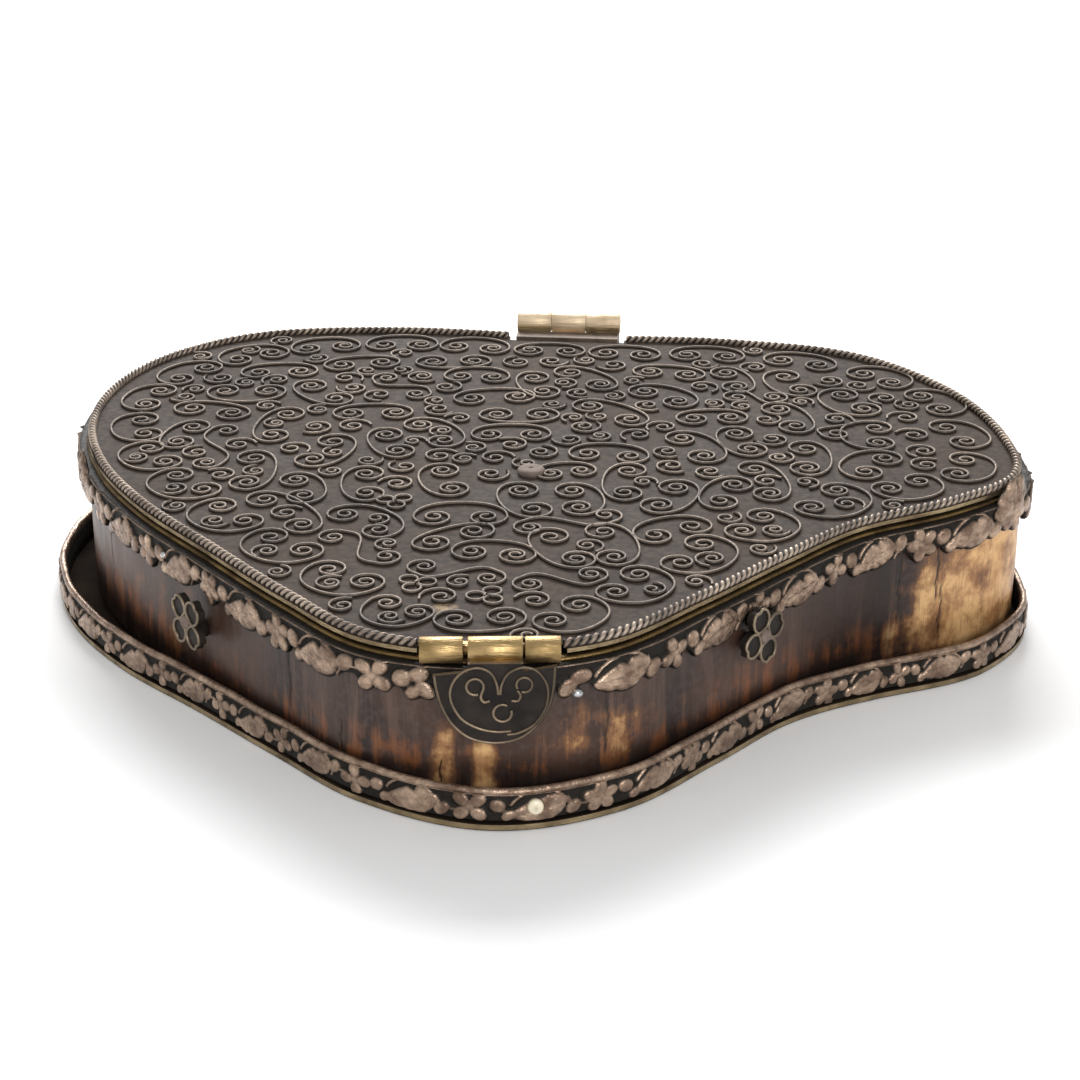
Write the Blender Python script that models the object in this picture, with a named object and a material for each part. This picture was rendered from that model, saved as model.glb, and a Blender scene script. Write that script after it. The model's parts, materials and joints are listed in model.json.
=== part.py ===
# Hinged bone box: a bone wall in a low metal tray, under a lid of scrolled wire
# with a rope edge, a barrel hinge at the back and a hanging hasp at the front.
# Metres. The origin is under the middle of the box, on the surface it stands on.
# X runs to the right as seen from the front, Y to the back, Z up.

import math

import bmesh
import bpy
from mathutils import Matrix, Vector

# Driving dimensions, in metres, and angles in degrees
LID_WIDTH = 0.0896          # across the middle of the rope edge
LID_DEPTH = 0.0764          # front point to back, at the middle of the rope edge
TOP_SLOPE = 3.0             # the top rises from the front point to the back
SEAM = 0.00025              # gap left between pieces that touch

WALL_HEIGHT = 0.0115        # bone, at the front point
WALL_THICKNESS = 0.0032
WALL_PROUD = 0.0009         # bone face outside the middle of the rope

TRAY_THICKNESS = 0.0006
TRAY_LIP = 0.00015          # tray plate past the rim
RIM_HEIGHT = 0.0028
RIM_THICKNESS = 0.0006
RIM_GAP = 0.00035           # bone to rim, where they are closest
RIM_SPREAD = 0.0028         # how much wider that gap grows elsewhere
RIM_BEAD = 0.0008           # height of the bead along the top of the rim
BEAD_PROUD = 0.0002
BEAD_CREST = 0.6            # the bead is highest here, as a share of the rim's thickness

COLLAR_DROP = 0.00245        # down the outside of the bone
COLLAR_THICKNESS = 0.0004
COLLAR_GAP = 0.00035        # bone to collar
BEZEL_HEIGHT = 0.0006
BEZEL_THICKNESS = 0.0005
BEZEL_INSET = 0.0001        # bezel's outer face inside the middle of the rope

LID_THICKNESS = 0.0005
LID_MARGIN = 0.00045        # lid plate past the middle of the rope
ROPE_DIAMETER = 0.00075
SCROLL_WIRE = 0.00036       # width at the foot of a scroll
SCROLL_HEIGHT = 0.00045
RIVET_DIAMETER = 0.0026
RIVET_HEIGHT = 0.0007
RIVET_CROWN = 0.6           # its flat top, as a share of its width

BARREL_DIAMETER = 0.0021
PIN_DIAMETER = 0.0009
PIN_CLEARANCE = 0.00012     # round the pin, in a bore
KNUCKLE_GAP = 0.0002        # between neighbouring knuckles
HINGE_LENGTH = 0.0114
HINGE_RISE = 0.00105        # hinge axis above the lid plate
HINGE_SETBACK = 0.00065     # hinge axis behind the strap
HINGE_NOTCH = 0.0012        # depth of the notch in the lid's back edge
LEAF_THICKNESS = 0.0006
LEAF_INSET = 0.00005        # leaves stop short of their knuckles' ends
LEAF_HEIGHT = 0.0062        # the strap that goes down behind the collar
CLASP_LENGTH = 0.0111
CLASP_RISE = 0.00035        # clasp axis above the lid plate
CLASP_TURN = 6.0            # the clasp is set askew by this angle
CLASP_LEFT = 0.0034         # left knuckle, right knuckle and the gap beside the left one
CLASP_RIGHT = 0.0028
CLASP_SLACK = 0.0004

HASP_WIDTH = 0.0098
HASP_HEIGHT = 0.0071        # below the barrel
HASP_THICKNESS = 0.0005
HASP_SHOULDER = 0.80        # where its sides start to curve in, as a share of its height
HASP_TOP = 0.9              # its top left corner, as a share of half its width
HASP_EAR = 0.0007           # the ear rises this far over the sheet
HASP_TAB_TOP = 0.00042      # the tab that joins sheet and knuckle, below the clasp's axis
HASP_TAB_THICKNESS = 0.00047
HASP_CLEARANCE = 0.0004     # hasp to barrel
HASP_LEAN = 4.0             # degrees, outwards at the foot
HASP_CURL_WIDTH = 0.0036    # one of its two scrolls
HASP_CURL_HEIGHT = 0.00025
HASP_CURL_DROP = 0.0044     # below the top of the sheet

FLOWER_WIDTH = 0.0056
FLOWER_THICKNESS = 0.0009
FLOWER_STEM = 0.0016        # diameter of the stem that holds a flower off the bone
FLOWER_STEM_DROP = 0.0010   # stem below the middle of the flower
PETAL_RADIUS = 0.27         # shares of the flower's width: a petal, and the hollow in it
HOLLOW_FLOOR = 0.113
HOLLOW_MOUTH = 0.146
HOLLOW_DEPTH = 0.35         # share of the flower's thickness
PETAL_SWEEP = 80.0          # degrees of a petal's edge, on either side of its tip
PEG_DIAMETER = 0.0013
PEG_HEIGHT = 0.0004
PEG_CROWN = 0.75            # its flat top, as a share of its width

LEAF_PITCH = 0.0110         # one leaf and one blossom of the bands
LEAF_LENGTH = 0.52          # share of the pitch
LEAF_PLACE = 0.28           # middles of a leaf and of a blossom, as shares of the pitch
BLOSSOM_PLACE = 0.78
BLOSSOM_WIDTH = 0.90        # share of the band's height
BLOSSOM_NOTCH = 0.62        # its waist between two petals, as a share of its width
RELIEF_HEIGHT = 0.0004
COLLAR_LEAF_DROP = 0.0027   # the collar's leaves reach below its edge
COLLAR_LEAF_TOP = 0.0005
BARE_BY_CLASP = 0.0022      # plain collar past the hasp's side and the hinge's end
BARE_BY_HINGE = 0.0037

# Fineness of the faceting
OUTLINE_SAMPLES = 56
ROUND_SIDES = 12

# The plan, from the front point round by the right: shares of half the width and half the
# depth, and how much of RIM_SPREAD the tray stands off there. The right side sweeps in.
OUTLINE = (
    (0.000, -1.010, 0.82), (0.190, -0.940, 0.46), (0.357, -0.725, 0.21), (0.509, -0.500, 0.11),
    (0.658, -0.298, 0.89), (0.862, -0.136, 1.00), (0.991, 0.026, 0.21), (0.996, 0.262, 0.14),
    (0.900, 0.610, 0.29), (0.692, 0.880, 0.36), (0.379, 0.969, 0.43), (0.000, 0.966, 0.46),
    (-0.424, 0.990, 0.50), (-0.759, 0.906, 0.57), (-0.938, 0.694, 0.68), (-1.004, 0.429, 0.79),
    (-0.987, 0.157, 0.89), (-0.904, -0.092, 0.86), (-0.768, -0.327, 0.64), (-0.578, -0.568, 0.25),
    (-0.393, -0.796, 0.00), (-0.221, -0.971, 0.04),
)
SPAN_STEPS = 24             # fine steps between two of these points

# Scrolls of wire. A head's middle is SCROLL_REACH of the width from the middle of the C.
SCROLL_REACH = 0.29
SCROLL_TURNS = 1.2
SCROLL_WINDING = 0.72       # how far a head's radius falls as it winds in
SCROLL_ROWS = (             # inset from the rope, number, width, steps of a head
    (0.0022, 22, 0.0092, 4),
    (0.0115, 12, 0.0092, 4),
)
ROSETTE_COUNT = 7
ROSETTE_RADIUS = 0.0042     # to the backs of its scrolls
ROSETTE_WIDTH = 0.0034
ROSETTE_TURNS = 0.7
ROSETTE_STEPS = 3
HASP_CURL_STEPS = 6
HASP_FOOT_STEPS = 12
PETAL_STEPS = 4
HOLLOW_SIDES = 6

# The ornaments' places, as shares of the way round the outline from the front point
LEFT_FLOWER = (0.874, 0.0085, 45.0)     # share, height, turn in degrees
RIGHT_FLOWER = (0.097, 0.0103, 20.0)
PEG_PLACE = (0.0114, 0.0019)            # share, height
RIVET_PLACE = (-0.0003, -0.0018)        # on the lid, X and Y

# Worked out from the sizes above
HALF_WIDTH = LID_WIDTH / 2
HALF_DEPTH = LID_DEPTH / 2
FRONT_Y = OUTLINE[0][1] * HALF_DEPTH
TRAY_TOP = TRAY_THICKNESS + SEAM
WALL_TOP = TRAY_TOP + WALL_HEIGHT
RIM_INNER = WALL_PROUD + RIM_GAP
COLLAR_INNER = WALL_PROUD + COLLAR_GAP
COLLAR_OUTER = COLLAR_INNER + COLLAR_THICKNESS
BARREL_RADIUS = BARREL_DIAMETER / 2
UPRIGHT = Matrix.Rotation(math.radians(90), 4, "X")   # turns a flat outline's Y to Z
PIN_RADIUS = PIN_DIAMETER / 2
# Heights over the top of the bone, in the sloping frame of the top
COLLAR_TOP = SEAM + COLLAR_THICKNESS
BEZEL_TOP = SEAM + BEZEL_HEIGHT
LID_BOTTOM = BEZEL_TOP + SEAM
LID_TOP = LID_BOTTOM + LID_THICKNESS
ROPE_CENTRE = LID_TOP + SEAM + ROPE_DIAMETER / 2


def clear_scene():
    for item in list(bpy.data.objects):
        bpy.data.objects.remove(item, do_unlink=True)


def make_collection(name):
    group = bpy.data.collections.new(name)
    bpy.context.scene.collection.children.link(group)
    return group


def make_material(name, colour, roughness, metallic):
    material = bpy.data.materials.new(name)
    material.use_nodes = True
    shader = material.node_tree.nodes["Principled BSDF"]
    shader.inputs["Base Color"].default_value = (*colour, 1.0)
    shader.inputs["Roughness"].default_value = roughness
    shader.inputs["Metallic"].default_value = metallic
    return material


def make_empty(name, location, parent=None, rotation=(0.0, 0.0, 0.0)):
    empty = bpy.data.objects.new(name, None)
    empty.location = location
    empty.rotation_euler = rotation
    empty.parent = parent
    PARTS.objects.link(empty)
    return empty


def make_object(name, mesh, material, pivot=None, group=None):
    """An object whose mesh or curve is written in the frame of TOP, or of the ground without a pivot."""
    item = bpy.data.objects.new(name, mesh)
    mesh.materials.clear()
    if material is not None:
        mesh.materials.append(material)
    if pivot is not None:
        item.parent = pivot
        item.location = -top_place(pivot)
    (group or PARTS).objects.link(item)
    return item


def top_place(pivot):
    """Where a pivot is, in the sloping frame of the top."""
    place = Vector((0.0, 0.0, 0.0))
    while pivot is not None and pivot is not TOP:
        place = place + pivot.location
        pivot = pivot.parent
    return place


def as_cutter(item):
    item.hide_render = True
    item.display_type = "WIRE"
    return item


def combine(item, name, mesh, operation, pivot=None, crossing=False):
    """Joins a mesh to an object, or cuts it away, with a Boolean that stays on the object.
    crossing says that parts of the mesh run through each other."""
    tool = as_cutter(make_object(name, mesh, None, pivot, CUTTERS))
    modifier = item.modifiers.new(name, "BOOLEAN")
    modifier.operation = operation
    modifier.solver = "EXACT"
    modifier.use_self = crossing
    modifier.object = tool
    return item


def mesh_from(bm, name):
    bmesh.ops.recalc_face_normals(bm, faces=bm.faces)
    mesh = bpy.data.meshes.new(name)
    bm.to_mesh(mesh)
    bm.free()
    return mesh


# The plan outline


def smooth_loop(points, steps):
    """A closed centripetal Catmull-Rom curve through points of any number of coordinates."""
    count = len(points)
    fine = []
    for i in range(count):
        a, b, c, d = (Vector(points[(i + k) % count]) for k in (-1, 0, 1, 2))
        ab, bc, cd = (math.sqrt((q - p).length) for p, q in ((a, b), (b, c), (c, d)))
        start = ((b - a) / ab - (c - a) / (ab + bc) + (c - b) / bc) * bc
        end = ((c - b) / bc - (d - b) / (bc + cd) + (d - c) / cd) * bc
        for k in range(steps):
            t = k / steps
            h1 = 2 * t**3 - 3 * t**2 + 1
            h2 = t**3 - 2 * t**2 + t
            h3 = -2 * t**3 + 3 * t**2
            h4 = t**3 - t**2
            fine.append(b * h1 + start * h2 + c * h3 + end * h4)
    return fine


def even_samples(loop, count):
    """Points spaced evenly along a closed loop, and the loop's length."""
    closed = loop + [loop[0]]
    run = [0.0]
    for p, q in zip(closed, closed[1:]):
        run.append(run[-1] + (q - p).to_2d().length)
    samples = []
    k = 0
    for i in range(count):
        target = run[-1] * i / count
        while run[k + 1] < target:
            k += 1
        samples.append(closed[k].lerp(closed[k + 1], (target - run[k]) / (run[k + 1] - run[k])))
    return samples, run[-1]


def outward(points):
    """The outward direction at each point of a loop that runs anticlockwise."""
    count = len(points)
    normals = []
    for i in range(count):
        along = points[(i + 1) % count].xy - points[i - 1].xy
        normals.append(Vector((along.y, -along.x)).normalized())
    return normals


def plan_outline(count):
    scaled = [(x * HALF_WIDTH, y * HALF_DEPTH, tray * RIM_SPREAD) for x, y, tray in OUTLINE]
    return even_samples(smooth_loop(scaled, SPAN_STEPS), count)


def ring(offset, tray=0.0):
    """The outline moved outwards, and further by a share of the tray's spread."""
    return [p.xy + n * (offset + tray * p.z) for p, n in zip(LOOP, NORMALS)]


def place_on_outline(share, offset, tray=0.0):
    """A point beside the outline, its outward direction, at a share of the way round."""
    at = share * len(LOOP)
    i = int(at) % len(LOOP)
    j = (i + 1) % len(LOOP)
    points = ring(offset, tray)
    where = points[i].lerp(points[j], at - int(at))
    out = Vector((points[j].y - points[i].y, points[i].x - points[j].x)).normalized()
    return where, out


# Shapes


def band(name, sections):
    """A closed band: each section is a ring of 3-D points, and the last meets the first."""
    bm = bmesh.new()
    rows = [[bm.verts.new(p) for p in section] for section in sections]
    for row, after in zip(rows, rows[1:] + rows[:1]):
        for i in range(len(row)):
            j = (i + 1) % len(row)
            bm.faces.new((row[i], row[j], after[j], after[i]))
    return mesh_from(bm, name)


def level(points, z):
    return [Vector((p.x, p.y, z)) for p in points]


def plate(name, points, z, thickness):
    """A flat sheet with this outline, its underside at z."""
    data = bpy.data.curves.new(name, "CURVE")
    data.dimensions = "2D"
    data.fill_mode = "BOTH"
    data.extrude = thickness / 2
    spline = data.splines.new("POLY")
    spline.points.add(len(points) - 1)
    for target, p in zip(spline.points, points):
        target.co = (p[0], p[1], 0.0, 1.0)
    spline.use_cyclic_u = True
    curve = bpy.data.objects.new(name, data)
    CUTTERS.objects.link(curve)
    bpy.context.view_layer.update()
    flat = bpy.data.meshes.new_from_object(curve.evaluated_get(bpy.context.evaluated_depsgraph_get()))
    bpy.data.objects.remove(curve, do_unlink=True)
    bm = bmesh.new()
    bm.from_mesh(flat)
    bpy.data.meshes.remove(flat)
    bmesh.ops.remove_doubles(bm, verts=bm.verts, dist=SEAM / 25)
    bmesh.ops.dissolve_limit(bm, angle_limit=math.radians(1), verts=bm.verts, edges=bm.edges)
    bmesh.ops.translate(bm, verts=bm.verts, vec=(0.0, 0.0, z + thickness / 2))
    return mesh_from(bm, name)


def block(name, low, high, matrix=None):
    """A box between two corners, put in place by a matrix."""
    low, high = Vector(low), Vector(high)
    bm = bmesh.new()
    size = high - low
    middle = (high + low) / 2
    bmesh.ops.create_cube(bm, size=1.0, matrix=Matrix.Translation(middle) @ Matrix.Diagonal((*size, 1.0)))
    if matrix is not None:
        bm.transform(matrix)
    return mesh_from(bm, name)


def rod(bm, radius, start, end, matrix):
    """A round rod along X, from start to end, added to a mesh."""
    turn = Matrix.Rotation(math.radians(90), 4, "Y")
    middle = Matrix.Translation(((start + end) / 2, 0.0, 0.0))
    bmesh.ops.create_cone(bm, cap_ends=True, segments=ROUND_SIDES, radius1=radius, radius2=radius,
                          depth=end - start, matrix=matrix @ middle @ turn)


def rods(name, radius, spans, matrix):
    bm = bmesh.new()
    for start, end in spans:
        rod(bm, radius, start, end, matrix)
    return mesh_from(bm, name)


def add_rib(bm, points, width, foot, crest):
    """A ridge along a path in plan: a three-sided bar, its foot at one height, its crest at another."""
    rows = []
    for i, p in enumerate(points):
        before = points[max(i - 1, 0)]
        after = points[min(i + 1, len(points) - 1)]
        along = (after - before).normalized()
        side = Vector((-along.y, along.x)) * width / 2
        rows.append([bm.verts.new((p.x + side.x, p.y + side.y, foot)),
                     bm.verts.new((p.x, p.y, crest)),
                     bm.verts.new((p.x - side.x, p.y - side.y, foot))])
    for row, after in zip(rows, rows[1:]):
        for k in range(3):
            bm.faces.new((row[k], row[(k + 1) % 3], after[(k + 1) % 3], after[k]))
    bm.faces.new(rows[0])
    bm.faces.new(reversed(rows[-1]))


def scroll_path(width, turns, steps):
    """A C-scroll along X: two heads wound inwards, joined by a bar. The back of the C faces -Y."""
    reach = width * SCROLL_REACH
    radius = width / 2 - reach
    right = []
    for k in range(steps + 1):
        wound = k / steps
        angle = math.radians(360 * turns) * wound
        arm = radius * (1.0 - SCROLL_WINDING * wound)
        right.append(Vector((reach + arm * math.sin(angle), radius - arm * math.cos(angle))))
    left = [Vector((-p.x, p.y)) for p in reversed(right)]
    return left + right


def turned(points, angle, place):
    spin = Matrix.Rotation(angle, 2)
    return [spin @ p + place for p in points]


# Relief of the two bands: leaves and blossoms between the same two heights


def add_boss(bm, outline, crest, matrix):
    """A low faceted boss: its outline sunk in the band, its crest standing out of it."""
    foot = [bm.verts.new(matrix @ Vector((x, -RELIEF_HEIGHT / 2, z))) for x, z in outline]
    top = [bm.verts.new(matrix @ Vector((x, RELIEF_HEIGHT, z))) for x, z in crest]
    count = len(foot)
    bm.faces.new(reversed(foot))
    for i in range(count):
        bm.faces.new((foot[i], foot[(i + 1) % count], top[i * len(top) // count]))
        j = (i + 1) % count
        if top[i * len(top) // count] is not top[j * len(top) // count]:
            bm.faces.new((foot[j], top[j * len(top) // count], top[i * len(top) // count]))


def leaf_outline(length, height, flip):
    half = height / 2
    points = [(-0.50, -0.15), (-0.10, -1.0), (0.30, -0.75), (0.50, 0.35), (0.05, 1.0), (-0.35, 0.55)]
    ridge = [(-0.15, -0.1), (0.2, 0.1)]
    side = -1 if flip else 1
    order = points if side > 0 else points[::-1]
    return ([(x * length, side * z * half) for x, z in order],
            [(x * length, side * z * half) for x, z in (ridge if side > 0 else ridge[::-1])])


def blossom_outline(width):
    points = []
    for k in range(8):
        radius = width / 2 * (1.0 if k % 2 == 0 else BLOSSOM_NOTCH)
        angle = math.radians(45 * k + 22.5)
        points.append((radius * math.cos(angle), radius * math.sin(angle)))
    return points, [(0.0, 0.0)]


def band_relief(name, offset, tray, bottom, top, bare):
    """Leaves and blossoms in turn round a band. bare lists the stretches left plain."""
    count = round(OUTLINE_LENGTH / LEAF_PITCH)
    pitch = OUTLINE_LENGTH / count
    middle = (bottom + top) / 2
    height = top - bottom
    bm = bmesh.new()
    for k in range(count):
        for kind, place in (("leaf", LEAF_PLACE), ("blossom", BLOSSOM_PLACE)):
            share = (k + place) / count
            if any(low <= share <= high for low, high in bare):
                continue
            where, out = place_on_outline(share, offset, tray)
            along = Vector((-out.y, out.x, 0.0))
            frame = Matrix((
                (along.x, out.x, 0.0, where.x),
                (along.y, out.y, 0.0, where.y),
                (0.0, 0.0, 1.0, middle),
                (0.0, 0.0, 0.0, 1.0),
            ))
            if kind == "leaf":
                outline, crest = leaf_outline(LEAF_LENGTH * pitch, height, k % 2)
            else:
                outline, crest = blossom_outline(BLOSSOM_WIDTH * height)
            add_boss(bm, outline, crest, frame)
    return mesh_from(bm, name)


# The pieces


def build_tray_plate():
    points = ring(RIM_INNER + RIM_THICKNESS + TRAY_LIP, 1.0)
    return make_object("base_plate", plate("base_plate", points, 0.0, TRAY_THICKNESS), SILVER)


def build_rim():
    low = TRAY_TOP
    high = low + RIM_HEIGHT
    profile = (
        (0.0, low),
        (RIM_THICKNESS, low),
        (RIM_THICKNESS, high - RIM_BEAD),
        (RIM_THICKNESS + BEAD_PROUD, high - RIM_BEAD / 2),
        (RIM_THICKNESS * BEAD_CREST, high),
        (0.0, high - RIM_BEAD / 3),
    )
    sections = [level(ring(RIM_INNER + across, 1.0), z) for across, z in profile]
    rim = make_object("base_rim", band("base_rim", sections), SILVER)
    peg_bare = PEG_DIAMETER / OUTLINE_LENGTH
    bare = [(PEG_PLACE[0] - peg_bare, PEG_PLACE[0] + peg_bare)]
    relief = band_relief("rim_relief", RIM_INNER + RIM_THICKNESS, 1.0, low, high - RIM_BEAD, bare)
    return combine(rim, "rim_relief", relief, "UNION")


def build_wall():
    """The bone stands upright in the tray, and its top follows the slope of the lid."""
    outer = ring(WALL_PROUD)
    inner = ring(WALL_PROUD - WALL_THICKNESS)
    slope = math.tan(math.radians(TOP_SLOPE))
    sections = [level(inner, TRAY_TOP), level(outer, TRAY_TOP)]
    for points in (outer, inner):
        sections.append([Vector((p.x, p.y, WALL_TOP + (p.y - FRONT_Y) * slope)) for p in points])
    return make_object("bone_wall", band("bone_wall", sections), BONE)


def build_collar():
    flange_edge = SEAM - BEZEL_INSET
    profile = (
        (COLLAR_INNER, -COLLAR_DROP),
        (COLLAR_OUTER, -COLLAR_DROP),
        (COLLAR_OUTER, COLLAR_TOP),
        (flange_edge, COLLAR_TOP),
        (flange_edge, SEAM),
        (COLLAR_INNER, SEAM),
    )
    sections = [level(ring(across), z) for across, z in profile]
    collar = make_object("collar", band("collar", sections), SILVER, TOP)
    hasp_bare = (HASP_WIDTH / 2 + BARE_BY_CLASP) / OUTLINE_LENGTH
    leaf_bare = (HINGE_LENGTH / 2 + BARE_BY_HINGE) / OUTLINE_LENGTH
    back = back_share()
    bare = [(0.0, hasp_bare), (1.0 - hasp_bare, 1.0), (back - leaf_bare, back + leaf_bare)]
    relief = band_relief("collar_relief", COLLAR_OUTER, 0.0, -COLLAR_LEAF_DROP, COLLAR_LEAF_TOP, bare)
    return combine(collar, "collar_relief", relief, "UNION", TOP)


def build_bezel():
    profile = (
        (-BEZEL_INSET - BEZEL_THICKNESS, SEAM),
        (-BEZEL_INSET, SEAM),
        (-BEZEL_INSET, BEZEL_TOP),
        (-BEZEL_INSET - BEZEL_THICKNESS, BEZEL_TOP),
    )
    sections = [level(ring(across), z) for across, z in profile]
    return make_object("bezel", band("bezel", sections), BRASS, TOP)


def lid_scrolls():
    """The scrolls of the lid: a border row, a row inside it and a rosette round the rivet."""
    bm = bmesh.new()
    foot = LID_TOP - SCROLL_HEIGHT / 2
    crest = LID_TOP + SCROLL_HEIGHT
    for inset, count, width, steps in SCROLL_ROWS:
        path = scroll_path(width, SCROLL_TURNS, steps)
        row = even_samples(ring(-inset - width * (0.5 - SCROLL_REACH)), 2 * count)[0]
        for k in range(count):
            before, where, after = (row[(2 * k + step) % len(row)] for step in (0, 1, 2))
            angle = math.atan2(after.y - before.y, after.x - before.x)
            drawn = [Vector((p.x, p.y - width * (0.5 - SCROLL_REACH))) for p in path]
            add_rib(bm, turned(drawn, angle, where), SCROLL_WIRE, foot, crest)
    centre = Vector(RIVET_PLACE)
    petal = scroll_path(ROSETTE_WIDTH, ROSETTE_TURNS, ROSETTE_STEPS)
    for k in range(ROSETTE_COUNT):
        angle = math.radians(360 / ROSETTE_COUNT * k)
        where = centre + Vector((math.sin(angle), -math.cos(angle))) * ROSETTE_RADIUS
        add_rib(bm, turned(petal, angle, where), SCROLL_WIRE, foot, crest)
    return mesh_from(bm, "lid_scrolls")


def build_lid_plate():
    points = ring(LID_MARGIN)
    sheet = plate("lid_plate", points, LID_BOTTOM, LID_THICKNESS)
    lid = make_object("lid_plate", sheet, LID_METAL, LID_PIVOT)
    below = LID_BOTTOM - LID_THICKNESS
    above = LID_TOP + LID_THICKNESS
    clasp_depth = clasp_strip_back() + SEAM
    notch = block("clasp_notch", (-CLASP_LENGTH / 2 - SEAM, -LID_DEPTH, below - CLASP_AXIS.z),
                  (CLASP_LENGTH / 2 + SEAM, clasp_depth, above - CLASP_AXIS.z), CLASP_FRAME)
    combine(lid, "clasp_notch", notch, "DIFFERENCE", LID_PIVOT)
    half = HINGE_LENGTH / 2 + LEAF_THICKNESS
    notch = block("hinge_notch", (-half, hinge_notch_edge(), below), (half, LID_DEPTH, above))
    combine(lid, "hinge_notch", notch, "DIFFERENCE", LID_PIVOT)
    return combine(lid, "lid_scrolls", lid_scrolls(), "UNION", LID_PIVOT, True)


def back_share():
    """The share of the way round at which the outline passes the hinge, behind the front point."""
    for i in range(1, len(LOOP) - 1):
        before, after = LOOP[i], LOOP[i + 1]
        if before.x > 0.0 >= after.x and before.y > 0.0:
            return (i + before.x / (before.x - after.x)) / len(LOOP)


def back_edge():
    """The furthest Y of the outline where it passes the hinge."""
    reach = HINGE_LENGTH / 2 + OUTLINE_LENGTH / OUTLINE_SAMPLES
    return max(p.y for p in LOOP if p.y > 0.0 and abs(p.x) < reach)


def hinge_notch_edge():
    return back_edge() + LID_MARGIN - HINGE_NOTCH


def clasp_strip_back():
    """How far behind the clasp's axis its strip reaches."""
    return BARREL_RADIUS + KNUCKLE_GAP + LEAF_THICKNESS


def build_rope(name, points):
    """One length of the twisted wire along the lid's edge."""
    data = bpy.data.curves.new(name, "CURVE")
    data.dimensions = "3D"
    data.bevel_depth = ROPE_DIAMETER / 2
    data.bevel_resolution = 1
    data.use_fill_caps = True
    spline = data.splines.new("POLY")
    spline.points.add(len(points) - 1)
    for target, p in zip(spline.points, points):
        target.co = (p.x, p.y, ROPE_CENTRE, 1.0)
    return make_object(name, data, SILVER, LID_PIVOT)


def build_ropes():
    """The wire stops on either side of the clasp and the hinge, so it comes in two lengths."""
    edge = ring(0.0)
    clasp_half = CLASP_LENGTH / 2 + ROPE_DIAMETER
    hinge_half = HINGE_LENGTH / 2 + LEAF_THICKNESS + ROPE_DIAMETER
    half = len(edge) // 2
    right = [p for p in edge[:half + 1] if p.x > (clasp_half if p.y < 0 else hinge_half)]
    left = [p for p in edge[half:] if p.x < -(clasp_half if p.y < 0 else hinge_half)]
    build_rope("lid_rope_right", right)
    build_rope("lid_rope_left", left)


def build_rivet():
    """A domed rivet head over the middle of the lid."""
    bm = bmesh.new()
    base = LID_TOP + SEAM
    radius = RIVET_DIAMETER / 2
    place = Matrix.Translation((*RIVET_PLACE, base + RIVET_HEIGHT / 2))
    bmesh.ops.create_cone(bm, cap_ends=True, segments=ROUND_SIDES, radius1=radius,
                          radius2=radius * RIVET_CROWN, depth=RIVET_HEIGHT, matrix=place)
    return make_object("lid_rivet", mesh_from(bm, "lid_rivet"), TIN, LID_PIVOT)


def fork(left, right, low, middle, high):
    """A strip with two prongs, one at each span: its outline in plan or in elevation."""
    inset = LEAF_INSET
    return [(left[0] + inset, low), (right[1] - inset, low), (right[1] - inset, high),
            (right[0] + inset, high), (right[0] + inset, middle), (left[1] - inset, middle),
            (left[1] - inset, high), (left[0] + inset, high)]


def build_hinge():
    """Three knuckles at the back: the outer two on the box's strap, the middle one on the lid."""
    third = HINGE_LENGTH / 3
    half = HINGE_LENGTH / 2
    inner = third / 2
    left = (-half, -inner - KNUCKLE_GAP)
    right = (inner + KNUCKLE_GAP, half)
    frame = Matrix.Translation(HINGE_AXIS)
    bore = rods("hinge_bore", PIN_RADIUS + PIN_CLEARANCE, [(-HINGE_LENGTH, HINGE_LENGTH)], frame)
    strap_front = back_edge() + COLLAR_OUTER + SEAM
    strap_top = HINGE_AXIS.z - BARREL_RADIUS - LEAF_THICKNESS - KNUCKLE_GAP
    outline = fork(left, right, strap_top - LEAF_HEIGHT, strap_top, HINGE_AXIS.z)
    strap = plate("hinge_box_leaf", outline, 0.0, LEAF_THICKNESS)
    strap.transform(Matrix.Translation((0.0, strap_front + LEAF_THICKNESS, 0.0)) @ UPRIGHT)
    box_leaf = make_object("hinge_box_leaf", strap, BRASS, TOP)
    for name, span in (("hinge_knuckle_left", left), ("hinge_knuckle_right", right)):
        combine(box_leaf, name, rods(name, BARREL_RADIUS, [span], frame), "UNION", TOP)
    combine(box_leaf, "hinge_bore", bore, "DIFFERENCE", TOP)
    knuckle = rods("hinge_lid_leaf", BARREL_RADIUS, [(-inner, inner)], frame)
    lid_leaf = make_object("hinge_lid_leaf", knuckle, BRASS, LID_PIVOT)
    tongue = block("hinge_tongue", (-inner + LEAF_INSET, hinge_notch_edge() + SEAM, LID_BOTTOM),
                   (inner - LEAF_INSET, HINGE_AXIS.y - PIN_RADIUS, LID_TOP + PIN_RADIUS))
    combine(lid_leaf, "hinge_tongue", tongue, "UNION", LID_PIVOT)
    combine(lid_leaf, "hinge_lid_bore", bore.copy(), "DIFFERENCE", LID_PIVOT)
    pin = rods("hinge_pin", PIN_RADIUS, [(-half, half)], frame)
    return box_leaf, lid_leaf, make_object("hinge_pin", pin, BRASS, TOP)


def clasp_spans():
    half = CLASP_LENGTH / 2
    left = (-half, -half + CLASP_LEFT)
    right = (half - CLASP_RIGHT, half)
    middle = (left[1] + CLASP_SLACK, right[0] - KNUCKLE_GAP)
    return left, middle, right


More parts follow.
